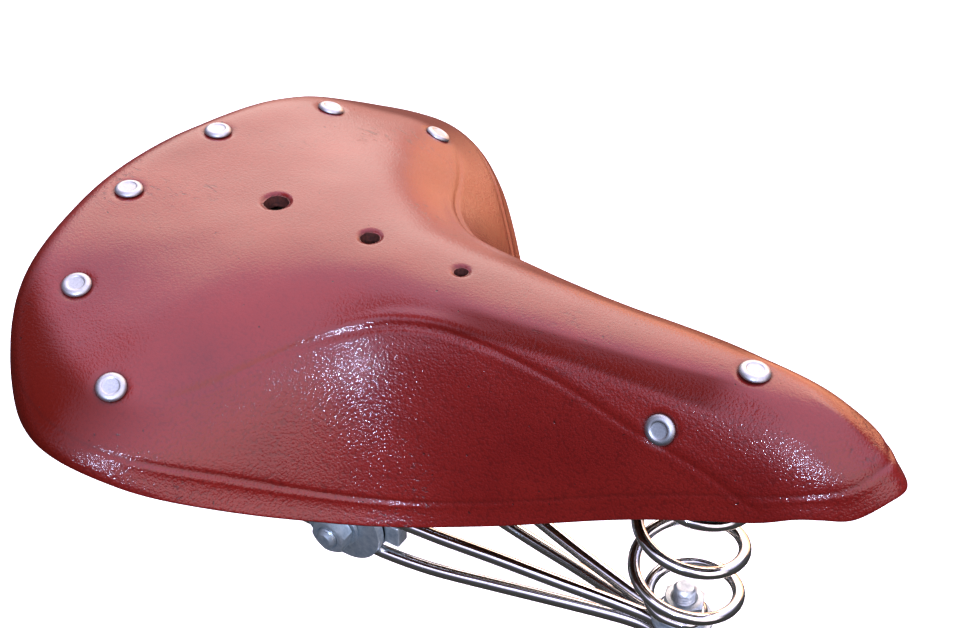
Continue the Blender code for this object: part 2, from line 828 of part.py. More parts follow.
def nose_foot():
    """Bolt, washer and nut that hold the nose spring on the wires' front eyes."""
    head = (NOSE_SPRING_X, 0.0, NOSE_EYE_LOWER_Z - RAIL_RADIUS - GAP)
    nut_z = NOSE_SPRING_FOOT + NOSE_WIRE_RADIUS + GAP
    nut_top = nut_z + THIN_NUT_HEIGHT
    bolt("nose_bottom_bolt", head, (0, 0, 1), nut_top + 5.0 * MM - head[2])
    washer(
        "nose_bottom_washer",
        (NOSE_SPRING_X, 0.0, NOSE_WASHER_Z),
        (NOSE_SPRING_X, 0.0, NOSE_WASHER_Z + WASHER_SHEET),
        10.5 * MM,
    )
    nut("nose_bottom_nut", (NOSE_SPRING_X, 0.0, nut_z), (NOSE_SPRING_X, 0.0, nut_top))


def rear_foot(side, y):
    """The bolt and nut under one rear spring."""
    head = (REAR_SPRING_X, y, REAR_EYE_LOWER_Z - RAIL_RADIUS - GAP)
    nut_z = REAR_SPRING_FOOT + REAR_WIRE_RADIUS + GAP
    bolt("rear_lower_bolt_" + side, head, (0, 0, 1), nut_z + NUT_HEIGHT + 2.0 * MM - head[2])
    nut("rear_lower_nut_" + side, (REAR_SPRING_X, y, nut_z), (REAR_SPRING_X, y, nut_z + NUT_HEIGHT))


def rear_head(side, y):
    """The bolt and nut over one rear spring."""
    head_z = CANTLE_BRIDGE_Z + BRIDGE_SHEET + GAP
    nut_z = REAR_SPRING_TOP - REAR_WIRE_RADIUS - GAP
    low = nut_z - NUT_HEIGHT
    bolt("rear_upper_bolt_" + side, (REAR_SPRING_X, y, head_z), (0, 0, -1), head_z - low + 2.0 * MM)
    nut("rear_upper_nut_" + side, (REAR_SPRING_X, y, low), (REAR_SPRING_X, y, nut_z))


def rear_bridge():
    """A flat bar with round ends that ties the rear eyes together."""
    half = BRIDGE_HALF_WIDTH
    outline = arc((0.0, REAR_SPRING_Y), half, 0.0, 180.0, 10)
    outline += arc((0.0, -REAR_SPRING_Y), half, 180.0, 360.0, 10)
    place = Matrix.Translation((REAR_SPRING_X, 0.0, BRIDGE_Z + BRIDGE_SHEET / 2))
    part = extruded("rear_bridge", outline, place, BRIDGE_SHEET, "zinc")
    for side in (1, -1):
        cut(part, bolt_hole(REAR_SPRING_X, side * REAR_SPRING_Y, BRIDGE_Z))


# ---------------------------------------------------------------- nose fittings

def nose_bracket():
    """A channel on top of the nose spring that holds the shackle pin."""
    outer = BRACKET_INNER + BRACKET_SHEET
    floor = BRACKET_Z + BRACKET_SHEET
    top = PIN_Z + 6.0 * MM
    outline = (
        (-outer, BRACKET_Z),
        (outer, BRACKET_Z),
        (outer, top),
        (BRACKET_INNER, top),
        (BRACKET_INNER, floor),
        (-BRACKET_INNER, floor),
        (-BRACKET_INNER, top),
        (-outer, top),
    )
    upright = Matrix(((0, 0, 1, NOSE_SPRING_X), (1, 0, 0, 0), (0, 1, 0, 0), (0, 0, 0, 1)))
    part = extruded("nose_bracket", outline, upright, 19.0 * MM, "sheet")
    cut(part, bolt_hole(NOSE_SPRING_X, 0.0, BRACKET_Z))
    reach = Vector((0.0, 20.0 * MM, 0.0))
    pin = Vector((NOSE_SPRING_X, 0.0, PIN_Z))
    cut(part, cylinder_mesh(PIN_RADIUS + GAP, pin - reach, pin + reach))


def shackle_pin():
    outer = BRACKET_INNER + BRACKET_SHEET + GAP
    center = Vector((NOSE_SPRING_X, 0.0, PIN_Z))
    end = Vector((0.0, outer + MM, 0.0))
    part = add_part("shackle_pin", cylinder_mesh(PIN_RADIUS, center - end, center + end), "zinc")
    for side in (1, -1):
        inside = center + Vector((0.0, side * outer, 0.0))
        outside = center + Vector((0.0, side * (outer + 2.0 * MM), 0.0))
        join(part, cylinder_mesh(4.6 * MM, inside, outside))
    shade_round(part)


def tension_shackle():
    """The block on the pin that the tension bolt is screwed through."""
    half = BRACKET_INNER - 0.4 * MM
    block = 8.0 * MM
    outline = [(-block, PIN_Z)]
    outline += arc((0.0, PIN_Z), 6.8 * MM, 200.0, 340.0, 10)
    outline += [(block, PIN_Z), (block, TENSION_Z + 6.0 * MM), (-block, TENSION_Z + 6.0 * MM)]
    upright = Matrix(((1, 0, 0, NOSE_SPRING_X), (0, 0, -1, 0), (0, 1, 0, 0), (0, 0, 0, 1)))
    part = extruded("tension_shackle", outline, upright, 2 * half, "zinc")
    pin = Vector((NOSE_SPRING_X, 0.0, PIN_Z))
    across = Vector((0.0, 20.0 * MM, 0.0))
    cut(part, cylinder_mesh(PIN_RADIUS + GAP, pin - across, pin + across))
    bore = Vector((NOSE_SPRING_X, 0.0, TENSION_Z))
    along = Vector((20.0 * MM, 0.0, 0.0))
    cut(part, cylinder_mesh(THREAD_HOLE, bore - along, bore + along))


def tension_bolt():
    """A screw with a hexagon collar; its front end sits in the nose piece's boss."""
    start = Vector((TENSION_START, 0.0, TENSION_Z))
    end = Vector((TENSION_END, 0.0, TENSION_Z))
    part = add_part("tension_bolt", cylinder_mesh(THREAD_RADIUS, start, end), "zinc")
    collar = Vector((169.5 * MM, 0.0, TENSION_Z))
    join(part, hexagon(collar, collar + Vector((5.5 * MM, 0.0, 0.0))))


def nose_head():
    """The bolt and nut that hold the bracket on the nose spring's upper eye."""
    head_z = BRACKET_Z + BRACKET_SHEET + GAP
    nut_z = NOSE_SPRING_TOP - NOSE_WIRE_RADIUS - GAP
    low = nut_z - NUT_HEIGHT
    bolt("nose_top_bolt", (NOSE_SPRING_X, 0.0, head_z), (0, 0, -1), head_z - low + 2.0 * MM)
    nut("nose_top_nut", (NOSE_SPRING_X, 0.0, low), (NOSE_SPRING_X, 0.0, nut_z))


# ---------------------------------------------------------------- seat-post clip

def clip_band():
    """A strap round the post; its two ears run forward to the clamp bolt."""
    tip = BOLT_X + BAND_HEIGHT / 2
    inner_angle = math.degrees(math.asin(EAR_INNER / BAND_INNER))
    outer_angle = math.degrees(math.asin(EAR_OUTER / BAND_OUTER))
    outline = [(tip, EAR_INNER)]
    outline += arc((0.0, 0.0), BAND_INNER, inner_angle, 360.0 - inner_angle, 24)
    outline += [(tip, -EAR_INNER), (tip, -EAR_OUTER)]
    outline += arc((0.0, 0.0), BAND_OUTER, 360.0 - outer_angle, outer_angle, 24)
    outline += [(tip, EAR_OUTER)]
    place = Matrix.Translation((0.0, 0.0, BOLT_Z))
    part = extruded("clip_band", outline, place, BAND_HEIGHT, "zinc")
    bolt_line = Vector((BOLT_X, 0.0, BOLT_Z))
    across = Vector((0.0, 20.0 * MM, 0.0))
    ends = cylinder_mesh(BAND_HEIGHT / 2 + 0.05 * MM, bolt_line - across, bolt_line + across, 32)
    keep = add_part("clip_keep", ends, "zinc")
    join(keep, box_mesh((-20 * MM, -20 * MM, -MM), (BOLT_X, 20 * MM, BAND_HEIGHT + MM)))
    combine(part, keep.data.copy(), "INTERSECT")
    bpy.data.objects.remove(keep, do_unlink=True)
    cut(part, cylinder_mesh(THREAD_HOLE, bolt_line - across, bolt_line + across))
    shade_round(part)


def cheek_outline():
    """A disc drawn out slightly along the wires, about the clamp bolt."""
    half_run = 2.0 * MM
    outline = arc((half_run, 0.0), CHEEK_RADIUS, -90.0, 90.0, 12)
    outline += arc((-half_run, 0.0), CHEEK_RADIUS, 90.0, 270.0, 12)
    return outline


def cheek_blank(name, near, far, side):
    """The cheek's outline extruded between two distances from the middle plane."""
    middle = side * (near + far) / 2
    upright = Matrix(((1, 0, 0, BOLT_X), (0, 0, -1, middle), (0, 1, 0, BOLT_Z), (0, 0, 0, 1)))
    return extruded(name, cheek_outline(), upright, far - near, "zinc")


def cut_clamp_features(part, side):
    """The two grooves for the wires and the hole for the bolt."""
    along = Vector((30.0 * MM, 0.0, 0.0))
    for height in (RAIL_SPREAD, -RAIL_SPREAD):
        middle = Vector((BOLT_X, side * RAIL_Y, BOLT_Z + height))
        cut(part, cylinder_mesh(RAIL_RADIUS + GAP, middle - along, middle + along))
    bolt_line = Vector((BOLT_X, 0.0, BOLT_Z))
    across = Vector((0.0, side * 40.0 * MM, 0.0))
    cut(part, cylinder_mesh(THREAD_HOLE, bolt_line, bolt_line + across))


def inner_cheek(name, side):
    near = EAR_OUTER + GAP
    far = RAIL_Y - CHEEK_SPLIT
    part = cheek_blank(name, near, far, side)
    guide_near = BAND_OUTER + 0.6 * MM
    low_y = min(side * guide_near, side * far)
    high_y = max(side * guide_near, side * far)
    guide = 4.6 * MM
    low = (BOLT_X - GUIDE_REACH, low_y, BOLT_Z - guide)
    join(part, box_mesh(low, (BOLT_X + GUIDE_REACH, high_y, BOLT_Z + guide)))
    cut_clamp_features(part, side)


def outer_cheek(name, side):
    part = cheek_blank(name, RAIL_Y + CHEEK_SPLIT, OUTER_CHEEK_FACE, side)
    cut_clamp_features(part, side)


def clamp_bolt():
    end = Vector((0.0, BOLT_END, 0.0))
    middle = Vector((BOLT_X, 0.0, BOLT_Z))
    part = add_part("clamp_bolt", cylinder_mesh(THREAD_RADIUS, middle - end, middle + end), "zinc")
    bevel(part, 0.6 * MM)


def clamp_side(label, side):
    inner_cheek("inner_cheek_" + label, side)
    outer_cheek("outer_cheek_" + label, side)
    face = OUTER_CHEEK_FACE + GAP
    stack = [(BOLT_X, side * y, BOLT_Z) for y in (face, face + WASHER_SHEET)]
    washer("clamp_washer_" + label, stack[0], stack[1], 8.2 * MM)
    nut_start = face + WASHER_SHEET + GAP
    nut_end = nut_start + NUT_HEIGHT
    nut(
        "clamp_nut_" + label,
        (BOLT_X, side * nut_start, BOLT_Z),
        (BOLT_X, side * nut_end, BOLT_Z),
    )


# ---------------------------------------------------------------- assembly

def build():
    rivets = rivet_places()
    leather_cover(rivets)
    cantle_plate(rivets)
    cantle_bridge()
    nose_piece(rivets)
    for name, point, direction in rivets:
        rivet(name, point, direction)
    rails()
    rear_bridge()
    coil_spring(
        "nose_spring",
        (NOSE_SPRING_X, 0.0),
        NOSE_SPRING_FOOT,
        NOSE_SPRING_TOP,
        NOSE_COIL_RADIUS,
        NOSE_WIRE_RADIUS,
        NOSE_PITCH,
        111.0,
    )
    nose_foot()
    nose_head()
    nose_bracket()
    shackle_pin()
    tension_shackle()
    tension_bolt()
    for label, side in (("left", 1), ("right", -1)):
        y = side * REAR_SPRING_Y
        coil_spring(
            "rear_spring_" + label,
            (REAR_SPRING_X, y),
            REAR_SPRING_FOOT,
            REAR_SPRING_TOP,
            REAR_COIL_RADIUS,
            REAR_WIRE_RADIUS,
            REAR_PITCH,
            90.0,
        )
        rear_foot(label, y)
        rear_head(label, y)
        clamp_side(label, side)
    clip_band()
    clamp_bolt()
    set_origins()


def joint_places():
    """A point on each joint's axis, with the first words of the pieces that the joint carries."""
    clamp = Vector((BOLT_X, 0.0, BOLT_Z))
    rear_tops = Vector((REAR_SPRING_X, 0.0, REAR_SPRING_TOP))
    pin = Vector((NOSE_SPRING_X, 0.0, PIN_Z))
    screw = Vector((NOSE_SPRING_X, 0.0, TENSION_Z))
    cheeks = ("inner_cheek", "outer_cheek", "clamp_washer", "clamp_nut")
    frame = ("rail", "rear_bridge", "rear_lower", "rear_spring", "nose_spring", "nose_bottom")
    return (
        (clamp, cheeks + frame),
        (rear_tops, ("nose_bracket", "nose_top", "shackle_pin")),
        (pin, ("leather_cover", "cantle", "rear_rivet", "rear_upper", "tension_shackle")),
        (screw, ("nose_piece", "nose_rivet", "tension_bolt")),
    )


def set_origins():
    for place, words in joint_places():
        for part in PARTS.objects:
            if part.name.startswith(words):
                part.data.transform(Matrix.Translation(-place))
                part.location = place


build()
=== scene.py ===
"""Looks of the sprung leather bicycle saddle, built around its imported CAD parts.

Metres, +X forward to the nose, +Y left, +Z up, as in the CAD.
"""

import math

import bmesh
import bpy
import numpy as np
from mathutils import Matrix, Vector, kdtree, noise


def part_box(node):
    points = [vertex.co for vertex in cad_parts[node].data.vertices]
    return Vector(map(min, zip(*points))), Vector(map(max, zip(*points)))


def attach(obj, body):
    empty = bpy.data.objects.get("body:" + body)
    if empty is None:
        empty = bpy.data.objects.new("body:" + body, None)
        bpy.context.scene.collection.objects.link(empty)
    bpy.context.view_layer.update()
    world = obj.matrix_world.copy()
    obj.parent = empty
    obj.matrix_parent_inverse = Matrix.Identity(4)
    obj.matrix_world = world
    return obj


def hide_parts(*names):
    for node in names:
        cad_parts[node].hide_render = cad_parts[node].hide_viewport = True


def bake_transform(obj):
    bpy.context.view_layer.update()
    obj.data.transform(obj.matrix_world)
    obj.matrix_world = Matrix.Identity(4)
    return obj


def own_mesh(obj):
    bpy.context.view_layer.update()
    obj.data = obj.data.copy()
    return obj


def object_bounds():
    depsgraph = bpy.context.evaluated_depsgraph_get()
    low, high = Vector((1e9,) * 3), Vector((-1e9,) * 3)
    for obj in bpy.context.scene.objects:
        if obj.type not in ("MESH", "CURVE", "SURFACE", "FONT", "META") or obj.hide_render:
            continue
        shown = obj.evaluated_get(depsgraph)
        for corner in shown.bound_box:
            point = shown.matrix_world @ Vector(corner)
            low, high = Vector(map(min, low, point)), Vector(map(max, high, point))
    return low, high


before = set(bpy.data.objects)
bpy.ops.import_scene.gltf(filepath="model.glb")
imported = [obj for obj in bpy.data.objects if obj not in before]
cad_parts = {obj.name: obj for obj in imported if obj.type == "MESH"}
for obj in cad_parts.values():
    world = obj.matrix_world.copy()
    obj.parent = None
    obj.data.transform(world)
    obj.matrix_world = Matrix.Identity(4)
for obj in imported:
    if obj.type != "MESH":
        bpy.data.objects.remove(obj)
CAD_LOW, CAD_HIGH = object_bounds()

MM = 0.001
UP = Vector((0.0, 0.0, 1.0))


def middle(node):
    low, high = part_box(node)
    return (low + high) / 2


# ---------------------------------------------------------------- sizes

GAP = 0.3 * MM
LEATHER_THICKNESS = 4.6 * MM
RIVET_HEAD_RADIUS = 4.8 * MM
RIVET_HEAD_HEIGHT = 1.8 * MM
THREAD_RADIUS = 3.9 * MM
THREAD_PITCH = 1.25 * MM
NUT_ACROSS = 13.0 * MM
FLAT_RADIUS = 0.475 * NUT_ACROSS
CHAMFER_SLOPE = math.tan(math.radians(28.0))
HEAD_HEIGHT = 5.0 * MM
RAIL_RADIUS = 2.4 * MM
NOSE_WIRE_RADIUS = 2.1 * MM
REAR_WIRE_RADIUS = 2.3 * MM
NOSE_COIL_RADIUS = 17.65 * MM
REAR_COIL_RADIUS = 15.6 * MM
NOSE_PITCH = 20.9 * MM
REAR_PITCH = 15.5 * MM
REAR_EYE_PLAY = 1.4 * MM
RAIL_EYE_RADIUS = THREAD_RADIUS + GAP + RAIL_RADIUS
RAIL_Y = 21.2 * MM
RAIL_SPREAD = 9.0 * MM

NOSE_RIVET = Vector((middle("nose_rivet_top").x, 0.0, CAD_HIGH.z))
NOSE_RIVET.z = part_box("nose_rivet_top")[1].z - RIVET_HEAD_HEIGHT
NOSE_SPRING = middle("nose_bottom_nut")
REAR_SPRING = middle("rear_lower_nut_left")
CLAMP = middle("clamp_bolt")

# The leather's ribs from the middle of the rear round to the nose, in mm from the top nose rivet:
# (spine x, spine z), (shoulder share, z), (wall share, z), (edge x, y, edge z), as in the CAD.
RIBS = (
    ((-170, -1.0), (0.97, 3.5), (1.00, -7), (-239, 0, -27)),
    ((-169, -1.0), (0.97, 2.5), (1.00, -8), (-233.5, 41, -27)),
    ((-167.5, -1.0), (0.97, -3.0), (1.00, -12), (-222.5, 76, -27)),
    ((-165, -1.0), (0.95, -13.5), (1.00, -19), (-204, 100, -27.5)),
    ((-161, -1.0), (0.91, -20.0), (1.00, -25), (-180, 113, -29.5)),
    ((-155, -1.1), (0.86, -26.0), (1.00, -32), (-156, 107, -37)),
    ((-146, -1.3), (0.77, -27.0), (0.95, -40), (-137, 91.5, -46.5)),
    ((-131, -1.6), (0.63, -19.0), (0.88, -46), (-118, 71, -60)),
    ((-110, -1.9), (0.55, -12.0), (0.80, -42), (-100, 55, -68)),
    ((-83, -2.0), (0.56, -9.0), (0.80, -38), (-78, 42.5, -68)),
    ((-54, -1.6), (0.60, -8.0), (0.84, -32), (-50, 34, -59)),
    ((-26, -0.7), (0.65, -8.0), (0.88, -25), (-22, 29.5, -46.5)),
    ((-8, 0.0), (0.70, -9.5), (0.92, -22), (4, 25.8, -37)),
    ((0, -0.3), (0.75, -11.0), (0.94, -19), (27, 21, -30.5)),
    ((5, -0.8), (0.78, -12.5), (0.95, -17.5), (40, 13.5, -26)),
    ((7.5, -1.1), (0.78, -13.5), (0.96, -17), (46.5, 6, -22)),
    ((8.5, -1.2), (0.78, -14.0), (0.96, -16.5), (49, 0, -21)),
)
VENTS = ((-175.9, 4.4), (-137.0, 3.3), (-101.4, 2.4))
REAR_RIVETS = ((-220.6, 23.4), (-203.4, 67.8), (-170.0, 90.3))
NOSE_SIDE_RIVET = (-18.7, 21.6)

# The crease pressed into each flap, as (x, z) in mm from the top nose rivet, with its depth share.
CREASE = (
    (-164, -21.5, 0.08),
    (-150, -20.5, 0.40),
    (-133, -15.5, 0.75),
    (-114, -10.8, 1.1),
    (-98, -8.8, 1.1),
    (-81, -9.3, 0.75),
    (-67, -10.8, 0.50),
    (-52, -13.0, 0.38),
    (-24, -19.0, 0.33),
    (-4, -23.0, 0.30),
    (13, -29.5, 0.25),
)


# ---------------------------------------------------------------- mesh tools

def add_mesh(name, verts, faces, materials, smooth_angle=35.0):
    mesh = bpy.data.meshes.new(name)
    mesh.from_pydata([tuple(v) for v in verts], [], [tuple(f) for f in faces])
    mesh.validate()
    piece = bpy.data.objects.new(name, mesh)
    bpy.context.scene.collection.objects.link(piece)
    for material in materials:
        mesh.materials.append(material)
    mesh.shade_smooth()
    mesh.set_sharp_from_angle(angle=math.radians(smooth_angle))
    return piece


def dress(piece, body, slot, *nodes):
    """The piece moves with the body and stands for the nodes; the slot is not used."""
    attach(piece, body)
    if nodes:
        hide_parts(*nodes)
    return piece


def facing(point, direction):
    """A frame at the point whose Z runs along the direction."""
    turn = Vector(direction).to_track_quat("Z", "Y").to_matrix().to_4x4()
    return Matrix.Translation(Vector(point)) @ turn


def grid_faces(rows, columns, wrap_rows, wrap_columns, start=0):
    faces = []
    for row in range(rows if wrap_rows else rows - 1):
        for column in range(columns if wrap_columns else columns - 1):
            next_row = (row + 1) % rows
            next_column = (column + 1) % columns
            faces.append((
                start + row * columns + column,
                start + row * columns + next_column,
                start + next_row * columns + next_column,
                start + next_row * columns + column,
            ))
    return faces


ROUND = 48
ANGLES = np.arange(ROUND) * 2 * math.pi / ROUND


def hex_radius(across):
    sector = (ANGLES + math.pi / 6) % (math.pi / 3) - math.pi / 6
    return across / 2 / np.cos(sector)


def ring_stack(name, rings, place, materials, bored=False, smooth_angle=35.0):
    """A solid from rings of (radius, height); bored joins the last ring to the first."""
    points = []
    for radius, height in rings:
        radius = np.broadcast_to(radius, ROUND)
        height = np.broadcast_to(height, ROUND)
        for angle, reach, z in zip(ANGLES, radius, height):
            points.append(place @ Vector((reach * math.cos(angle), reach * math.sin(angle), z)))
    faces = grid_faces(len(rings), ROUND, bored, True)
    faces = [face[::-1] for face in faces]
    if not bored:
        first = len(points)
        points.append(place @ Vector((0.0, 0.0, float(np.mean(rings[0][1])))))
        points.append(place @ Vector((0.0, 0.0, float(np.mean(rings[-1][1])))))
        last_ring = (len(rings) - 1) * ROUND
        for index in range(ROUND):
            after = (index + 1) % ROUND
            faces.append((first, after, index))
            faces.append((first + 1, last_ring + index, last_ring + after))
    return add_mesh(name, points, faces, materials, smooth_angle)


def smooth_path(points, step):
    """A Catmull-Rom curve through the points, sampled about every step."""
    points = [Vector(point) for point in points]
    ends = [2 * points[0] - points[1]] + points + [2 * points[-1] - points[-2]]
    path = []
    for index in range(1, len(ends) - 2):
        before, start, end, after = ends[index - 1:index + 3]
        span = (end - start).length
        out = (end - before) * span / max((end - start).length + (start - before).length, 1e-9)
        into = (after - start) * span / max((after - end).length + span, 1e-9)
        count = max(1, round(span / step))
        for part in range(count):
            t = part / count
            path.append(
                start * (2 * t ** 3 - 3 * t ** 2 + 1)
                + out * (t ** 3 - 2 * t ** 2 + t)
                + end * (3 * t ** 2 - 2 * t ** 3)
                + into * (t ** 3 - t ** 2)
            )
    path.append(points[-1])
    return path


def tube(name, path, radius, materials, sides=20):
    """A round wire along the path, with ends rounded over."""
    count = len(path)
    tangents = []
    for index in range(count):
        ahead = path[min(index + 1, count - 1)]
        behind = path[max(index - 1, 0)]
        tangents.append((ahead - behind).normalized())
    side = tangents[0].orthogonal().normalized()
    rings = []
    for index in range(count):
        if index:
            turn = tangents[index - 1].rotation_difference(tangents[index])
            side = (turn @ side).normalized()
        rings.append((path[index], tangents[index], side.copy(), radius))
    caps = ((0.45, 0.55), (0.38, 0.80), (0.20, 0.95))
    first, last = rings[0], rings[-1]
    head = [(first[0] - first[1] * radius * out, *first[1:3], radius * reach) for out, reach in caps]
    tail = [(last[0] + last[1] * radius * out, *last[1:3], radius * reach) for out, reach in caps]
    rings = head + rings + tail[::-1]
    verts = []
    for center, tangent, across, reach in rings:
        other = tangent.cross(across)
        for index in range(sides):
            angle = 2 * math.pi * index / sides
            verts.append(center + (across * math.cos(angle) + other * math.sin(angle)) * reach)
    faces = grid_faces(len(rings), sides, False, True)
    faces.append(tuple(reversed(range(sides))))
    faces.append(tuple(range((len(rings) - 1) * sides, len(rings) * sides)))
    faces = [face[::-1] for face in faces[:-2]] + [faces[-2][::-1], faces[-1][::-1]]
    return add_mesh(name, verts, faces, materials, 60.0)


def arc(center, radius, start, end, steps):
    points = []
    for step in range(steps + 1):
        angle = math.radians(start + (end - start) * step / steps)
        points.append((center[0] + radius * math.cos(angle), center[1] + radius * math.sin(angle)))
    return points


def ease(share):
    share = np.clip(share, 0.0, 1.0)
    return share * share * (3.0 - 2.0 * share)


# ---------------------------------------------------------------- materials

class Nodes:
    """Short ways to add and join shader nodes."""

    def __init__(self, name):
        self.material = bpy.data.materials.new(name)
        self.material.use_nodes = True
        self.tree = self.material.node_tree
        self.shader = self.tree.nodes["Principled BSDF"]

    def add(self, kind, values=None, **settings):
        node = self.tree.nodes.new(kind)
        for key, value in settings.items():
            setattr(node, key, value)
        for key, value in (values or {}).items():
            self.feed(node.inputs[key], value)
        return node

    def feed(self, socket, value):
        if isinstance(value, bpy.types.NodeSocket):
            self.tree.links.new(value, socket)
        else:
            socket.default_value = value

    def set(self, **values):
        for key, value in values.items():
            self.feed(self.shader.inputs[key.replace("_", " ")], value)

    def place(self):
        return self.add("ShaderNodeTexCoord").outputs["Object"]

    def noise(self, vector, scale, detail=3.0, roughness=0.55, distortion=0.0):
        values = {
            "Vector": vector,
            "Scale": scale,
            "Detail": detail,
            "Roughness": roughness,
            "Distortion": distortion,
        }
        return self.add("ShaderNodeTexNoise", values).outputs["Fac"]

    def cells(self, vector, scale, feature="F1", smoothness=None):
        values = {"Vector": vector, "Scale": scale}
        if smoothness is not None:
            values["Smoothness"] = smoothness
        return self.add("ShaderNodeTexVoronoi", values, feature=feature).outputs["Distance"]

    def ramp(self, value, low, high, out_low=0.0, out_high=1.0):
        values = {
            "Value": value,
            "From Min": low,
            "From Max": high,
            "To Min": out_low,
            "To Max": out_high,
        }
        return self.add("ShaderNodeMapRange", values).outputs["Result"]

    def math(self, operation, first, second=0.5):
        node = self.add("ShaderNodeMath", operation=operation)
        self.feed(node.inputs[0], first)
        self.feed(node.inputs[1], second)
        return node.outputs[0]

    def mix(self, share, first, second):
        node = self.add("ShaderNodeMix", data_type="RGBA")
        self.feed(node.inputs["Factor"], share)
        self.feed(node.inputs[6], first)
        self.feed(node.inputs[7], second)
        return node.outputs[2]

    def bump(self, height, distance, strength=1.0, normal=None):
        values = {"Height": height, "Distance": distance, "Strength": strength}
        node = self.add("ShaderNodeBump", values)
        if normal is not None:
            self.feed(node.inputs["Normal"], normal)
        return node.outputs["Normal"]

    def attribute(self, name):
        return self.add("ShaderNodeAttribute", attribute_name=name).outputs["Fac"]


def leather_material():
    """Varnished cherry-red hide: pebbled grain under a clear gloss coat."""
    n = Nodes("leather_red")
    place = n.place()
    grain = n.attribute("grain")
    grime = n.attribute("grime")
    painted_shade = n.attribute("painted_shade")
    jitter = n.add("ShaderNodeTexNoise", {"Vector": place, "Scale": 700.0, "Detail": 2.0})
    shift = n.add("ShaderNodeVectorMath", {0: jitter.outputs["Color"], "Scale": 0.0006}, operation="SCALE")
    warped = n.add("ShaderNodeVectorMath", {0: place, 1: shift.outputs[0]}, operation="ADD").outputs[0]
    pebbles = n.ramp(n.cells(warped, 1150.0, "SMOOTH_F1", 0.35), 0.0, 0.80, 1.0, 0.0)
    grits = n.ramp(n.cells(warped, 2300.0), 0.0, 0.9, 1.0, 0.0)
    broad = n.noise(place, 26.0, 4.0, 0.6)
    red = n.mix(n.ramp(broad, 0.3, 0.7), (0.128, 0.0048, 0.0036, 1.0), (0.172, 0.0086, 0.0056, 1.0))
    # Painted shade: the rear roll and the nose shoulders are mixed towards a deep brown-red, as if in
    # shadow.
    red = n.mix(n.math("MULTIPLY", painted_shade, 0.85), red, (0.066, 0.0042, 0.0018, 1.0))
    pits = n.ramp(pebbles, 0.0, 0.35, 0.40, 0.0)
    red = n.mix(n.math("MULTIPLY", pits, grain), red, (0.050, 0.0018, 0.0018, 1.0))
    pores = n.ramp(n.noise(place, 520.0, 1.0), 0.755, 0.80, 0.0, 0.8)
    streaks = n.add("ShaderNodeMapping", {
        "Vector": place, "Scale": (0.35, 1.0, 1.0), "Rotation": (0.0, 0.0, 0.5)})
    scratches = n.ramp(n.noise(streaks.outputs[0], 620.0, 3.0, 0.7), 0.57, 0.67)
    scuffed = n.ramp(n.noise(place, 24.0, 2.0), 0.54, 0.66)
    scuffs = n.math("MULTIPLY", scratches, scuffed)
    worn = n.math("MAXIMUM", pores, n.math("MULTIPLY", scuffs, 0.75))
    worn = n.math("MAXIMUM", worn, n.math("MULTIPLY", grime, 0.85))
    red = n.mix(worn, red, (0.030, 0.004, 0.003, 1.0))
    fine = n.noise(place, 900.0)
    height = n.math("ADD", n.math("MULTIPLY", pebbles, grain), n.math("MULTIPLY", fine, 0.35))
    relief = n.bump(height, 0.00009)
    relief = n.bump(n.math("MULTIPLY", grits, grain), 0.00005, 1.0, relief)
    relief = n.bump(n.math("MULTIPLY", worn, -1.0), 0.00010, 0.8, relief)
    gloss = n.ramp(n.noise(place, 60.0, 3.0), 0.3, 0.7, 0.07, 0.13)
    n.set(Base_Color=red, Roughness=0.45, Normal=relief, Coat_Normal=relief)
    # Painted shade also thins the coat and lowers the specular on the rear roll and nose shoulders; the
    # grime rings thin the coat too.
    dull = n.math("MAXIMUM", grime, n.math("MULTIPLY", painted_shade, 0.9))
    n.set(Coat_Weight=n.ramp(dull, 0.0, 1.0, 0.75, 0.1), Coat_IOR=1.5)
    n.set(Coat_Roughness=n.math("ADD", gloss, n.math("MULTIPLY", scuffs, 0.2)))
    n.set(Specular_IOR_Level=n.ramp(painted_shade, 0.0, 1.0, 0.12, 0.04))
    return n.material


def edge_material():
    """The cut edge, burnished dark brown."""
    n = Nodes("leather_edge")
    place = n.place()
    layers = n.noise(place, 900.0, 3.0)
    color = n.mix(n.ramp(layers, 0.35, 0.65), (0.030, 0.008, 0.006, 1.0), (0.085, 0.022, 0.014, 1.0))
    n.set(Base_Color=color, Roughness=0.55, Normal=n.bump(layers, 0.00012))
    return n.material


def flesh_material():
    """The unfinished inner side of the hide, napped and tan."""
    n = Nodes("leather_flesh")
    place = n.place()
    nap = n.noise(place, 1400.0, 4.0, 0.7)
    patch = n.noise(place, 30.0, 3.0)
    tan = n.mix(n.ramp(patch, 0.3, 0.7), (0.300, 0.130, 0.060, 1.0), (0.200, 0.070, 0.035, 1.0))
    color = n.mix(n.ramp(nap, 0.35, 0.65, 0.0, 0.35), tan, (0.100, 0.035, 0.020, 1.0))
    n.set(Base_Color=color, Roughness=0.9, Specular_IOR_Level=0.15, Normal=n.bump(nap, 0.0003))
    n.set(Sheen_Weight=0.25, Sheen_Roughness=0.5)
    return n.material


def chrome_material():
    """Bright plating with faint drawing lines and a few dull spots."""
    n = Nodes("chrome_wire")
    place = n.place()
    haze = n.noise(place, 140.0, 4.0, 0.6)
    spots = n.ramp(n.noise(place, 520.0, 2.0), 0.68, 0.76)
    color = n.mix(n.ramp(haze, 0.35, 0.7), (0.82, 0.83, 0.84, 1.0), (0.66, 0.67, 0.66, 1.0))
    color = n.mix(n.math("MULTIPLY", spots, 0.45), color, (0.20, 0.18, 0.15, 1.0))
    rough = n.math("ADD", n.ramp(haze, 0.3, 0.75, 0.05, 0.15), n.math("MULTIPLY", spots, 0.2))
    n.set(Base_Color=color, Metallic=1.0, Roughness=rough, Normal=n.bump(haze, 0.00008))
    return n.material


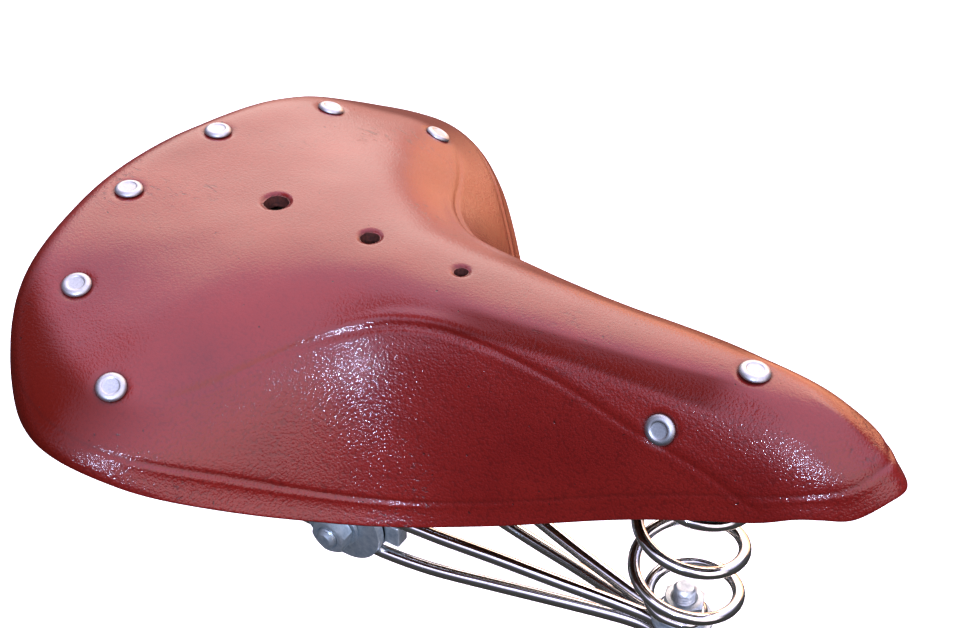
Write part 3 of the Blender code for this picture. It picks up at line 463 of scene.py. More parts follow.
def zinc_material():
    """Dull zinc plating, mottled blue-grey."""
    n = Nodes("zinc_plate")
    place = n.place()
    mottle = n.noise(place, 320.0, 4.0, 0.65)
    grit = n.noise(place, 2600.0, 2.0)
    color = n.mix(n.ramp(mottle, 0.32, 0.68), (0.36, 0.45, 0.50, 1.0), (0.66, 0.74, 0.76, 1.0))
    rough = n.ramp(mottle, 0.3, 0.7, 0.50, 0.32)
    n.set(Base_Color=color, Metallic=0.8, Roughness=rough, Normal=n.bump(grit, 0.00004))
    return n.material


def sheet_material():
    """Dark japanned steel sheet with slight orange peel and worn patches."""
    n = Nodes("dark_sheet")
    place = n.place()
    peel = n.noise(place, 900.0, 2.0)
    wear = n.ramp(n.noise(place, 160.0, 5.0, 0.7), 0.62, 0.72)
    color = n.mix(wear, (0.018, 0.018, 0.020, 1.0), (0.16, 0.145, 0.13, 1.0))
    n.set(Base_Color=color, Roughness=n.ramp(wear, 0.0, 1.0, 0.32, 0.5), Normal=n.bump(peel, 0.00005))
    n.set(Metallic=n.math("MULTIPLY", wear, 0.9))
    return n.material


def rivet_material():
    """Nickel-plated rivet heads, satin from handling."""
    n = Nodes("rivet_nickel")
    place = n.place()
    mottle = n.noise(place, 700.0, 3.0)
    color = n.mix(n.ramp(mottle, 0.3, 0.7), (0.44, 0.46, 0.47, 1.0), (0.36, 0.38, 0.40, 1.0))
    n.set(Base_Color=color, Metallic=1.0, Normal=n.bump(mottle, 0.00001))
    n.set(Roughness=n.ramp(mottle, 0.3, 0.7, 0.42, 0.52))
    return n.material


def rivet_face_material():
    """The struck flat in the middle of a rivet head, duller and a little pitted."""
    n = Nodes("rivet_face")
    place = n.place()
    pits = n.noise(place, 1500.0, 3.0, 0.7)
    color = n.mix(n.ramp(pits, 0.35, 0.65), (0.34, 0.37, 0.39, 1.0), (0.43, 0.47, 0.50, 1.0))
    n.set(Base_Color=color, Metallic=1.0, Roughness=0.55, Normal=n.bump(pits, 0.000006))
    return n.material


LEATHER = leather_material()
LEATHER_EDGE = edge_material()
FLESH = flesh_material()
CHROME = chrome_material()
ZINC = zinc_material()
SHEET = sheet_material()
RIVET = rivet_material()
RIVET_FACE = rivet_face_material()


# ---------------------------------------------------------------- the leather's shape

def rib_net(rib):
    """The six control points of a rib, from the spine to the edge."""
    (spine_x, spine_z), (shoulder, shoulder_z), (wall, wall_z), (edge_x, edge_y, edge_z) = rib
    drop = shoulder_z - spine_z
    shares = (
        (0.0, spine_z),
        (0.34 * shoulder, spine_z),
        (0.70 * shoulder, spine_z + 0.40 * drop),
        (shoulder, shoulder_z),
        (wall, wall_z),
        (1.0, edge_z),
    )
    net = []
    for share, z in shares:
        x = spine_x + (edge_x - spine_x) * share
        net.append(NOSE_RIVET + Vector((x, edge_y * share, z)) * MM)
    return net


def clamped_basis(shares):
    """The six clamped cubic B-spline weights at each share."""
    knots = np.array([0, 0, 0, 0, 1 / 3, 2 / 3, 1, 1, 1, 1])
    shares = np.clip(shares, 0.0, 1.0 - 1e-9)
    basis = [((knots[i] <= shares) & (shares < knots[i + 1])).astype(float) for i in range(9)]
    for degree in range(1, 4):
        raised = []
        for i in range(9 - degree):
            value = np.zeros_like(shares)
            rise = knots[i + degree] - knots[i]
            fall = knots[i + degree + 1] - knots[i + 1]
            if rise > 0:
                value = value + (shares - knots[i]) / rise * basis[i]
            if fall > 0:
                value = value + (knots[i + degree + 1] - shares) / fall * basis[i + 1]
            raised.append(value)
        basis = raised
    return np.stack(basis, axis=-1)


class Top:
    """The outer face of the leather, by rib number and share of the way from spine to edge."""

    def __init__(self):
        nets = np.array([[tuple(point) for point in rib_net(rib)] for rib in RIBS])
        nets = np.concatenate([nets, nets[-2:0:-1] * (1.0, -1.0, 1.0)])
        self.count = len(nets)
        joined = np.zeros((self.count, self.count))
        for index in range(self.count):
            joined[index, index] = 4 / 6
            joined[index, index - 1] = 1 / 6
            joined[index, (index + 1) % self.count] = 1 / 6
        flat = np.linalg.solve(joined, nets.reshape(self.count, -1))
        self.controls = flat.reshape(nets.shape)

    def points(self, ribs, shares):
        """Points for arrays of ribs (n) and shares (n, m)."""
        first = np.floor(ribs).astype(int)
        t = ribs - first
        weights = (
            (1 - t) ** 3 / 6,
            (3 * t ** 3 - 6 * t ** 2 + 4) / 6,
            (-3 * t ** 3 + 3 * t ** 2 + 3 * t + 1) / 6,
            t ** 3 / 6,
        )
        nets = 0.0
        for offset, weight in enumerate(weights):
            nets = nets + self.controls[(first + offset - 1) % self.count] * weight[:, None, None]
        return np.einsum("nmk,nkc->nmc", clamped_basis(shares), nets)


TOP = Top()
AROUND = 960
FAR_ROWS = 112
BAND = 13.0 * MM
BAND_ROWS = 32
EDGE_TRIM = 0.2 * MM


def unit(vectors):
    return vectors / np.maximum(np.linalg.norm(vectors, axis=-1, keepdims=True), 1e-12)


def even_grid():
    """Rib and share of each grid point: evenly spaced, with rows parallel to the edge near it."""
    ribs = np.arange(AROUND) * TOP.count / AROUND
    steps = np.linspace(0.0, 1.0, 361)
    dense = TOP.points(ribs, np.broadcast_to(steps, (AROUND, 361)))
    runs = np.linalg.norm(np.diff(dense, axis=1), axis=-1)
    along = np.concatenate([np.zeros((AROUND, 1)), np.cumsum(runs, axis=1)], axis=1)
    shares = np.zeros((AROUND, FAR_ROWS + BAND_ROWS))
    from_edge = np.zeros_like(shares)
    for index in range(AROUND):
        length = along[index, -1]
        far = np.linspace(0.0, length - BAND, FAR_ROWS, endpoint=False)
        near = np.linspace(length - BAND, length - EDGE_TRIM, BAND_ROWS)
        wanted = np.concatenate([far, near])
        shares[index] = np.interp(wanted, along[index], steps)
        from_edge[index] = length - wanted
    return ribs, shares, from_edge


def surface_normals(points):
    """Outward normals of the grid, with the spine row taken as level across."""
    around = np.roll(points, -1, axis=0) - np.roll(points, 1, axis=0)
    down = np.gradient(points, axis=1)
    normals = unit(np.cross(around, down))
    normals[:, 0] = unit(normals[:, 1] * (1.0, 0.0, 1.0))
    return normals


def crease_line(points):
    """The crease on the right flap: dense points on the surface with their depth shares."""
    right = points[points[..., 1] < -1.0 * MM]
    knots = []
    for x, z, depth in CREASE:
        goal = np.array([NOSE_RIVET.x + x * MM, NOSE_RIVET.z + z * MM])
        nearest = right[np.argmin(np.linalg.norm(right[:, (0, 2)] - goal, axis=1))]
        knots.append((Vector((goal[0], nearest[1], goal[1])), depth))
    path = smooth_path([place for place, _ in knots], 0.3 * MM)
    xs = [place.x for place, _ in knots]
    depths = np.interp([place.x for place in path], xs, [depth for _, depth in knots])
    return path, depths


def crease_relief(points):
    """Height of the pressed crease and its lip, in metres, at each point."""
    path, depths = crease_line(points)
    tree = kdtree.KDTree(len(path))
    for index, place in enumerate(path):
        tree.insert(place, index)
    tree.balance()
    relief = np.zeros(points.shape[:2])
    low_z = NOSE_RIVET.z - 36 * MM
    for i, j in np.argwhere(points[..., 2] > low_z):
        x, y, z = points[i, j]
        place = Vector((x, -abs(y), z))
        found, index, distance = tree.find(place)
        if distance > 9 * MM:
            continue
        side = -1.0 if z < found.z else 1.0
        t = side * distance / MM
        groove = -0.70 * math.exp(-(t / 0.9) ** 2)
        lip = 0.22 * math.exp(-((t + 2.2) / 1.4) ** 2)
        roll = 0.60 * math.exp(-((t - 3.0) / 2.3) ** 2)
        relief[i, j] = (groove + lip + roll) * depths[index] * MM
    return relief


def edge_relief(points, from_edge):
    """The bead line pressed round the edge and the lip that flares below it."""
    d = from_edge / MM
    x = points[..., 0] / MM
    side = 0.68 - 0.56 * ease((x - 55.0) / 35.0)
    back = 0.03 + 0.97 * ease((x + 3.0) / 22.0)
    nose = 0.36 * ease((x - 172.0) / 24.0)
    strength = side * back + nose
    width = 1.0 + 0.8 * ease((x - 160.0) / 30.0)
    groove = -0.50 * np.exp(-((d - 8.7) / (0.80 * width)) ** 2)
    bead = 0.42 * np.exp(-((d - 7.2) / (0.75 * width)) ** 2)
    flare = 0.95 * ease(1.0 - d / 6.0) ** 1.3
    return ((groove + bead) * strength + flare * (0.05 + 0.95 * strength)) * MM


def dents(points, places):
    """The hide sinks a little round each rivet and curls into each vent hole."""
    relief = np.zeros(points.shape[:2])
    for place, radius, depth, reach in places:
        distance = np.linalg.norm(points - np.array(place), axis=-1)
        share = ease(1.0 - (distance - radius) / reach)
        relief -= share * depth
    return relief


def belly(points, from_edge):
    """Leans the rear to the right, fuller there and drawn in on the left, to follow the outline seen."""
    d = from_edge / MM
    across = points[..., 1] / (40.0 * MM)
    lean = -across * np.exp(0.5 - 0.5 * across ** 2)
    rear = ease((20.0 - points[..., 0] / MM) / 40.0)
    return 2.2 * MM * lean * rear * np.exp(-((d - 16.0) / 11.0) ** 2)


def edge_drop(points, from_edge):
    """How much lower the hide hangs near its edge, at the flanks and round the nose."""
    x = points[..., 0] / MM
    nose = 1.8 * ease((x - 199.0) / 9.0) - 2.5 * np.exp(-((x - 193.5) / 8.5) ** 2)
    flanks = 3.1 * np.exp(-((x - 32.0) / 22.0) ** 2)
    return (nose + flanks) * MM * ease(1.0 - from_edge / BAND)


def waviness(points):
    """Slow unevenness of the hide."""
    flat = points.reshape(-1, 3)
    values = [noise.noise(Vector(point) * 32.0) + 0.5 * noise.noise(Vector(point) * 75.0) for point in flat]
    return np.array(values).reshape(points.shape[:2]) * 0.28 * MM


def rivet_places():
    """Node name of each rivet with its place in mm from the top nose rivet."""
    places = {"nose_rivet_top": (0.0, 0.0)}
    right = [(x, -y) for x, y in REAR_RIVETS]
    for number, place in enumerate(list(reversed(REAR_RIVETS)) + right, start=1):
        places["rear_rivet_%d" % number] = place
    x, y = NOSE_SIDE_RIVET
    places["nose_rivet_left"] = (x, y)
    places["nose_rivet_right"] = (x, -y)
    return places


def rivet_seats(points, normals):
    """For each rivet: its node, the surface point under its head and the outward direction."""
    flat = points.reshape(-1, 3)
    directions = normals.reshape(-1, 3)
    seats = []
    for name, (x, y) in rivet_places().items():
        goal = NOSE_RIVET + Vector((x, y, 0.0)) * MM
        misses = np.hypot(flat[:, 0] - goal.x, flat[:, 1] - goal.y)
        index = np.argmin(misses + (directions[:, 2] < 0.1))
        direction = Vector(directions[index])
        offset = goal - Vector(flat[index])
        offset.z = -(direction.x * offset.x + direction.y * offset.y) / direction.z
        seats.append((name, Vector(flat[index]) + offset, direction))
    return seats


RIBS_AT, SHARES_AT, FROM_EDGE = even_grid()
BASE = TOP.points(RIBS_AT, SHARES_AT)
NORMALS = surface_normals(BASE)
OUTER = BASE + NORMALS * belly(BASE, FROM_EDGE)[..., None]
SEATS = rivet_seats(OUTER, NORMALS)


def vent_places():
    places = []
    for x, radius in VENTS:
        places.append((NOSE_RIVET + Vector((x, 0.0, -1.2)) * MM, radius * MM))
    return places


def grain_strength(points, normals):
    """The grain is rubbed smooth on top and stays coarse on the flaps."""
    steep = 1.0 - ease((normals[..., 2] - 0.62) / 0.33)
    patches = [noise.noise(Vector(point) * 18.0) for point in points.reshape(-1, 3)]
    patches = np.array(patches).reshape(points.shape[:2])
    return np.clip(0.42 + 0.56 * steep + 0.16 * patches, 0.2, 1.0)


def painted_shade_share(points, normals, from_edge):
    """Painted shade: where the hide is darkened and its gloss dulled as if shaded, on the rear roll and the
    shoulders of the nose.
    """
    x = points[..., 0] / MM
    rear = ease((22.0 - x) / 36.0) * ease((31.0 - from_edge / MM) / 10.0)
    tilt = ease((normals[..., 2] - 0.62) / 0.12) * (1.0 - ease((normals[..., 2] - 0.93) / 0.04))
    shoulder = 0.85 * tilt * ease((x - 62.0) / 22.0) * (1.0 - ease((x - 156.0) / 14.0))
    return np.maximum(rear, shoulder)


def grime_share(points, from_edge, marks):
    """Old dirt: a ring round each rivet and hole, and a trace along the bead line."""
    share = 0.30 * np.exp(-((from_edge / MM - 8.9) / 0.55) ** 2)
    for place, radius, _, _ in marks:
        past = (np.linalg.norm(points - np.array(place), axis=-1) - radius) / MM
        share = np.maximum(share, np.exp(-(np.maximum(past - 0.1, 0.0) / 0.45) ** 2))
    return share


def leather_skin():
    marks = [(seat, RIVET_HEAD_RADIUS, 0.35 * MM, 2.4 * MM) for _, seat, _ in SEATS]
    marks += [(place, radius, 0.8 * MM, 1.6 * MM) for place, radius in vent_places()]
    relief = crease_relief(OUTER) + edge_relief(OUTER, FROM_EDGE) + dents(OUTER, marks) + waviness(OUTER)
    hang = edge_drop(OUTER, FROM_EDGE)
    skin = OUTER + NORMALS * relief[..., None]
    skin[..., 2] -= hang
    grain = grain_strength(OUTER, NORMALS)
    grime = grime_share(OUTER, FROM_EDGE, marks)
    # Painted shade share, stored on the points for the leather material.
    painted_shade = painted_shade_share(OUTER, NORMALS, FROM_EDGE)

    down = unit(skin[:, -1] - skin[:, -3])
    out = unit(NORMALS[:, -1] - down * np.sum(NORMALS[:, -1] * down, axis=-1, keepdims=True))
    lip = skin[:, -1]
    rim = []
    for drop, sink in ((0.25, 0.08), (0.50, 0.35), (0.60, 0.9), (0.60, 3.7), (0.45, 4.3)):
        rim.append(lip + (down * drop - out * sink) * MM)
    inner_rows = list(range(skin.shape[1] - 1, 0, -4))
    if inner_rows[-1] != 0:
        inner_rows.append(0)
    base = BASE - NORMALS * (LEATHER_THICKNESS - relief[..., None])
    base[..., 2] -= hang
    inner = [base[:, row] for row in inner_rows]
    columns = [skin[:, row] for row in range(skin.shape[1])] + rim + inner
    grid = np.stack(columns, axis=1)
    rows, width = grid.shape[:2]
    faces = [face[::-1] for face in grid_faces(rows, width, True, False)]
    piece = add_mesh("leather_skin", grid.reshape(-1, 3), faces, (LEATHER, LEATHER_EDGE, FLESH), 70.0)

    mesh = piece.data
    index = np.zeros(len(mesh.polygons), dtype=np.int32)
    last_outer = skin.shape[1] - 1
    column_low = np.array([min(v % width for v in polygon.vertices) for polygon in mesh.polygons])
    index[column_low >= last_outer + 1] = 1
    index[column_low >= last_outer + len(rim)] = 2
    mesh.polygons.foreach_set("material_index", index)
    for label, field, rest in (("grain", grain, 1.0), ("grime", grime, 0.0), ("painted_shade", painted_shade, 0.0)):
        values = np.full((rows, width), rest, dtype=np.float32)
        values[:, : skin.shape[1]] = field
        layer = mesh.attributes.new(label, "FLOAT", "POINT")
        layer.data.foreach_set("value", values.ravel())
    return piece


def even_spine_end(bm):
    """Fits one smooth patch over the spot where the nose's ribs meet and eases the skin on to it."""
    center = NOSE_RIVET + Vector((8.5, 0.0, 0.0)) * MM
    near = []
    for vert in bm.verts:
        offset = (vert.co - center) / (10.0 * MM)
        if vert.normal.z > 0.5 and offset.to_2d().length < 1.3:
            near.append((vert, offset.x, offset.y))
    x = np.array([item[1] for item in near])
    y = np.array([item[2] for item in near])
    z = np.array([item[0].co.z for item in near])
    reach = np.hypot(x, y)
    terms = np.stack([x ** i * y ** j for i in range(5) for j in range(5 - i)], axis=1)
    ring = reach > 0.35
    fit = np.linalg.lstsq(terms[ring], z[ring], rcond=None)[0]
    pull = ease((0.95 - reach) / 0.55)
    for (vert, _, _), height in zip(near, z + pull * (terms @ fit - z)):
        vert.co.z = height


def close_spine(piece):
    """Joins the left and right halves along the spine and evens out where the ribs meet."""
    bm = bmesh.new()
    bm.from_mesh(piece.data)
    bmesh.ops.remove_doubles(bm, verts=bm.verts, dist=0.02 * MM)
    bmesh.ops.dissolve_degenerate(bm, edges=bm.edges, dist=0.005 * MM)
    bm.normal_update()
    even_spine_end(bm)
    bm.to_mesh(piece.data)
    bm.free()


def cut_vents(piece):
    verts = []
    faces = []
    for place, radius in vent_places():
        start = len(verts)
        for z in (-14.0 * MM, 14.0 * MM):
            for angle in ANGLES:
                wobble = noise.noise(place * 900.0 + Vector((math.cos(angle), math.sin(angle), 0.0)) * 1.4)
                reach = radius * (1.0 + 0.09 * wobble)
                verts.append(place + Vector((reach * math.cos(angle), reach * math.sin(angle), z)))
        faces += [face for face in grid_faces(2, ROUND, False, True, start)]
        faces.append(tuple(reversed(range(start, start + ROUND))))
        faces.append(tuple(range(start + ROUND, start + 2 * ROUND)))
    cutter = add_mesh("vent_cutter", verts, faces, ())
    modifier = piece.modifiers.new("vents", "BOOLEAN")
    modifier.operation = "DIFFERENCE"
    modifier.object = cutter
    modifier.solver = "EXACT"
    bpy.context.view_layer.update()
    graph = bpy.context.evaluated_depsgraph_get()
    mesh = bpy.data.meshes.new_from_object(piece.evaluated_get(graph))
    piece.modifiers.clear()
    piece.data = mesh
    bpy.data.objects.remove(cutter, do_unlink=True)
    for polygon in mesh.polygons:
        for place, radius in vent_places():
            offset = Vector(polygon.center) - place
            if math.hypot(offset.x, offset.y) < 1.1 * radius and abs(polygon.normal.z) < 0.5:
                polygon.material_index = 1
    mesh.shade_smooth()
    mesh.set_sharp_from_angle(angle=math.radians(50.0))


def build_leather():
    piece = leather_skin()
    close_spine(piece)
    cut_vents(piece)
    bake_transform(piece)
    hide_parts("leather_cover")


# ---------------------------------------------------------------- rivets

def build_rivets():
    """Domed heads with a struck flat, over shanks peened inside."""
    profile = (
        (0.10, 0.96), (0.90, 0.97), (1.80, 0.98), (2.44, 1.00), (2.60, 1.04), (2.74, 1.16),
        (2.90, 1.26), (3.15, 1.30), (3.60, 1.25), (4.00, 1.10), (4.38, 0.84), (4.66, 0.50),
        (4.78, 0.16), (4.78, -0.05), (4.60, -0.28), (1.90, -0.30), (1.90, -8.0), (3.10, -8.1),
        (3.20, -8.4), (2.60, -8.9), (1.20, -9.2), (0.10, -9.25),
    )
    rings = [(radius * MM, z * MM) for radius, z in profile]
    for number, (name, point, direction) in enumerate(SEATS):
        turn = Matrix.Rotation(number * 0.7, 4, "Z")
        piece = ring_stack("stud_" + name, rings, facing(point, direction) @ turn, (RIVET, RIVET_FACE))
        flat = np.zeros(len(piece.data.polygons), dtype=np.int32)
        for polygon in piece.data.polygons:
            offset = Vector(polygon.center) - point
            height = offset.dot(direction)
            reach = (offset - direction * height).length
            if reach < 2.5 * MM and height > 0.0:
                flat[polygon.index] = 1
        piece.data.polygons.foreach_set("material_index", flat)
        body = "top" if name.startswith("rear") else "nose_carrier"
        dress(piece, body, "rivet", name)


# ---------------------------------------------------------------- wires and springs

def coil_path(center, foot, top, coil_radius, wire_radius, pitch, start_angle, play=GAP):
    """A left-handed coil whose ends wind in to flat eyes round their bolts, with some play."""
    eye = THREAD_RADIUS + play + wire_radius
    eye_turns = 0.80
    lead_turns = 0.45
    lead_rise = 0.6 * lead_turns * pitch
    coil_turns = (top - foot - 2 * lead_rise) / pitch
    total = 2 * eye_turns + 2 * lead_turns + coil_turns
    first = math.radians(start_angle) + 2 * math.pi * (eye_turns + lead_turns)
    count = round(total * 56)
    points = []
    for index in range(count + 1):
        turn = total * index / count
        from_end = min(turn, total - turn)
        out = float(ease((from_end - eye_turns) / lead_turns))
        radius = eye + (coil_radius - eye) * out
        lead = min(max(from_end - eye_turns, 0.0), lead_turns) / lead_turns
        rise = lead_rise * lead * lead
        if from_end > eye_turns + lead_turns:
            rise = lead_rise + (from_end - eye_turns - lead_turns) * pitch
        z = foot + rise if turn < total / 2 else top - rise
        angle = first - 2 * math.pi * turn
        points.append(Vector((center.x + radius * math.cos(angle), center.y + radius * math.sin(angle), z)))
    return points


def build_springs():
    low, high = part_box("nose_spring")
    foot = low.z + NOSE_WIRE_RADIUS
    top = high.z - NOSE_WIRE_RADIUS
    path = coil_path(NOSE_SPRING, foot, top, NOSE_COIL_RADIUS, NOSE_WIRE_RADIUS, NOSE_PITCH, 111.0)
    piece = tube("nose_coil", path, NOSE_WIRE_RADIUS, (CHROME,))
    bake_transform(piece)
    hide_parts("nose_spring")

    low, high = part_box("rear_spring_left")
    foot = low.z + REAR_WIRE_RADIUS
    top = high.z - REAR_WIRE_RADIUS
    for label, side in (("left", 1), ("right", -1)):
        center = Vector((REAR_SPRING.x, side * REAR_SPRING.y, 0.0))
        path = coil_path(
            center, foot, top, REAR_COIL_RADIUS, REAR_WIRE_RADIUS, REAR_PITCH, 90.0, REAR_EYE_PLAY)
        piece = tube("rear_coil_" + label, path, REAR_WIRE_RADIUS, (CHROME,))
        dress(piece, "undercarriage", "chrome", "rear_spring_" + label)
        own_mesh(piece)


def hairpin(name, clamp_z, rear_z, nose_z, front):
    """A wire from the left rear eye through the clamp, round the nose bolt and back."""
    left = []
    for x, y in arc(REAR_SPRING, RAIL_EYE_RADIUS, 0.0, 270.0, 36):
        left.append(Vector((x, y, rear_z)))
    leg_y = REAR_SPRING.y - RAIL_EYE_RADIUS
    start_x = REAR_SPRING.x + 6.0 * MM
    end_x = -4.0 * MM
    for step in range(17):
        share = step / 16
        x = start_x + (end_x - start_x) * share
        y = leg_y + (RAIL_Y - leg_y) * float(ease(share))
        rise = ease((share * (end_x - start_x) - 3.0 * MM) / (end_x - start_x - 3.0 * MM))
        left.append(Vector((x, y, rear_z + (clamp_z - rear_z) * float(rise))))
    for x in (4, 12, 20, 28, 36, 41, 45):
        left.append(Vector((x * MM, RAIL_Y, clamp_z)))
    left += [Vector(point) * MM for point in front]
    left += [Vector((x * MM, y * MM, nose_z)) for x, y in ((137.0, 3.0), (143.5, 2.9))]
    nose = arc((NOSE_SPRING.x, 0.0), RAIL_EYE_RADIUS, 140.0, -140.0, 36)
    right = [Vector((point.x, -point.y, point.z)) for point in reversed(left)]
    points = left + [Vector((x, y, nose_z)) for x, y in nose] + right
    piece = tube(name + "_wire", smooth_path(points, 1.2 * MM), RAIL_RADIUS, (CHROME,), 24)
    dress(piece, "undercarriage", "chrome", name)


def build_rails():
    nose_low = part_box("nose_bottom_bolt")[0].z + HEAD_HEIGHT + GAP + RAIL_RADIUS
    nose_high = nose_low + 2 * RAIL_RADIUS + GAP
    upper = ((56.0, 19.4, 22.9), (67.0, 17.0, 20.9), (87.0, 12.6, 18.0), (107.0, 8.5, 15.0),
             (127.0, 4.6, 12.6))
    lower = ((56.0, 19.4, 5.0), (67.0, 17.2, 4.5), (87.0, 13.0, 5.0), (107.0, 9.0, 5.9),
             (127.0, 4.8, 6.4))
    rear_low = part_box("rail_lower")[1].z - RAIL_RADIUS
    rear_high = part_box("rail_upper")[1].z - RAIL_RADIUS
    hairpin("rail_upper", CLAMP.z + RAIL_SPREAD, rear_high, nose_high, upper)
    hairpin("rail_lower", CLAMP.z - RAIL_SPREAD, rear_low, nose_low, lower)


# ---------------------------------------------------------------- bolts, nuts and washers

def thread_rings(start, end):
    """Rings of a roll-formed thread between two heights."""
    rings = []
    count = max(4, round(abs(end - start) / THREAD_PITCH * 8))
    for step in range(count + 1):
        z = start + (end - start) * step / count
        phase = (z / THREAD_PITCH - ANGLES / (2 * math.pi)) % 1.0
        crest = 1.0 - np.abs(2.0 * phase - 1.0)
        depth = 0.62 * MM * np.clip((crest - 0.12) / 0.76, 0.0, 1.0)
        rings.append((THREAD_RADIUS - depth, z))
    return rings


def head_rings(height):
    """A hexagon head from its chamfered top down to its flat underside."""
    full = hex_radius(NUT_ACROSS)
    flat = FLAT_RADIUS
    drop = (full - flat) * CHAMFER_SLOPE
    return [
        (0.30 * flat, height - 0.35 * MM),
        (0.62 * flat, height - 0.30 * MM),
        (0.74 * flat, height),
        (flat, height),
        (full, height - drop),
        (full, 0.25 * MM),
        (full - 0.25 * MM, 0.0),
    ]


def bolt_piece(name, head_under, direction, tip, body):
    """head_under is where the head meets the work; tip is the shank's length beyond it."""
    rings = head_rings(HEAD_HEIGHT)
    rings.append((THREAD_RADIUS - 0.2 * MM, 0.0))
    rings.append((THREAD_RADIUS - 0.2 * MM, -1.0 * MM))
    rings += thread_rings(-1.0 * MM, -(tip - 0.9 * MM))
    rings += [(THREAD_RADIUS - 0.9 * MM, -(tip - 0.05 * MM)), (THREAD_RADIUS - 1.3 * MM, -tip)]
    place = facing(head_under, -Vector(direction))
    piece = ring_stack(name + "_hex", rings, place, (ZINC,), smooth_angle=28.0)
    return dress(piece, body, "zinc", name)


def nut_piece(name, axis, body, turn=0.0):
    """A nut chamfered on both faces, as high as its CAD node."""
    low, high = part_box(name)
    center = (low + high) / 2
    half = (high - low).dot(Vector(axis)) / 2
    full = hex_radius(NUT_ACROSS)
    flat = FLAT_RADIUS
    drop = (full - flat) * CHAMFER_SLOPE
    bore = THREAD_RADIUS + 0.15 * MM
    rings = [
        (bore, -half + 0.5 * MM),
        (bore + 0.6 * MM, -half),
        (flat, -half),
        (full, -half + drop),
        (full, half - drop),
        (flat, half),
        (bore + 0.6 * MM, half),
        (bore, half - 0.5 * MM),
    ]
    rings = rings[::-1]
    place = facing(center, axis) @ Matrix.Rotation(turn, 4, "Z")
    piece = ring_stack(name + "_hex", rings, place, (ZINC,), bored=True, smooth_angle=28.0)
    return dress(piece, body, "zinc", name)


def washer_piece(name, axis, body):
    low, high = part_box(name)
    center = (low + high) / 2
    half = (high - low).dot(Vector(axis)) / 2
    radius = max(high - low) / 2
    bore = THREAD_RADIUS + 0.25 * MM
    round_off = 0.25 * MM
    rings = [
        (bore, half),
        (radius - round_off, half),
        (radius, half - round_off),
        (radius, -half + round_off),
        (radius - round_off, -half),
        (bore, -half),
    ]
    piece = ring_stack(name + "_ring", rings, facing(center, axis), (ZINC,), bored=True)
    return dress(piece, body, "zinc", name)


def vertical_bolt(name, direction, body):
    """A bolt along Z whose head is below (direction +1) or above (-1)."""
    low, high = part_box(name)
    center = (low + high) / 2
    length = high.z - low.z - HEAD_HEIGHT
    under_z = low.z + HEAD_HEIGHT if direction > 0 else high.z - HEAD_HEIGHT
    bolt_piece(name, (center.x, center.y, under_z), (0.0, 0.0, direction), length, body)


def clamp_stud():
    """The clamp bolt: threaded at both ends."""
    low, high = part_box("clamp_bolt")
    half = (high.y - low.y) / 2
    tip = [(THREAD_RADIUS - 1.4 * MM, half), (THREAD_RADIUS - 0.7 * MM, half - 0.5 * MM)]
    rings = tip + thread_rings(half - 0.9 * MM, 24.0 * MM)
    rings += [(THREAD_RADIUS - 0.1 * MM, 23.5 * MM), (THREAD_RADIUS - 0.1 * MM, -23.5 * MM)]
    rings += thread_rings(-24.0 * MM, -half + 0.9 * MM)
    rings += [(radius, -z) for radius, z in reversed(tip)]
    piece = ring_stack("clamp_stud", rings, facing(CLAMP, (0.0, 1.0, 0.0)), (ZINC,), smooth_angle=28.0)
    dress(piece, "seat_clip", "zinc", "clamp_bolt")


def build_fasteners():
    vertical_bolt("nose_bottom_bolt", 1, "undercarriage")
    nut_piece("nose_bottom_nut", UP, "undercarriage", 0.3)
    washer_piece("nose_bottom_washer", UP, "undercarriage")
    vertical_bolt("nose_top_bolt", -1, "nose_carriage")
    nut_piece("nose_top_nut", UP, "nose_carriage", 0.1)
    for label, side in (("left", 1), ("right", -1)):
        vertical_bolt("rear_lower_bolt_" + label, 1, "undercarriage")
        nut_piece("rear_lower_nut_" + label, UP, "undercarriage", 0.2 * side)
        vertical_bolt("rear_upper_bolt_" + label, -1, "top")
        nut_piece("rear_upper_nut_" + label, UP, "top", 0.5 * side)
        across = Vector((0.0, 1.0, 0.0))
        nut_piece("clamp_nut_" + label, across, "clamp_cheeks", 0.25)
        washer_piece("clamp_washer_" + label, across, "clamp_cheeks")
    clamp_stud()


# ---------------------------------------------------------------- sheet and block parts

def apply_modifiers(piece):
    bpy.context.view_layer.update()
    graph = bpy.context.evaluated_depsgraph_get()
    mesh = bpy.data.meshes.new_from_object(piece.evaluated_get(graph))
    piece.modifiers.clear()
    piece.data = mesh


def drill(piece, start, end, radius):
    """Cuts a round hole or groove from one point to another."""
    start = Vector(start)
    end = Vector(end)
    place = facing(start, end - start)
    length = (end - start).length
    rings = [(radius, length), (radius, 0.0)]
    cutter = ring_stack("cutter", rings, place, ())
    modifier = piece.modifiers.new("drill", "BOOLEAN")
    modifier.operation = "DIFFERENCE"
    modifier.object = cutter
    modifier.solver = "EXACT"
    apply_modifiers(piece)
    bpy.data.objects.remove(cutter, do_unlink=True)


def soften(piece, width=0.4 * MM):
    """Rounds the edges over a little."""
    modifier = piece.modifiers.new("soften", "BEVEL")
    modifier.width = width
    modifier.segments = 3
    modifier.limit_method = "ANGLE"
    modifier.angle_limit = math.radians(40.0)
    apply_modifiers(piece)
    piece.data.shade_smooth()
    piece.data.set_sharp_from_angle(angle=math.radians(40.0))


def slab(name, outline, place, thickness, material):
    """A flat outline, given counterclockwise, filled and extruded evenly about its own plane."""
    count = len(outline)
    verts = []
    for z in (-thickness / 2, thickness / 2):
        for x, y in outline:
            verts.append(place @ Vector((x, y, z)))
    faces = grid_faces(2, count, False, True)
    faces.append(tuple(reversed(range(count))))
    faces.append(tuple(range(count, 2 * count)))
    return add_mesh(name, verts, faces, (material,))


def across_y(x, z, middle_y):
    """A frame whose plane is upright along X and Z."""
    return Matrix(((1, 0, 0, x), (0, 0, -1, middle_y), (0, 1, 0, z), (0, 0, 0, 1)))


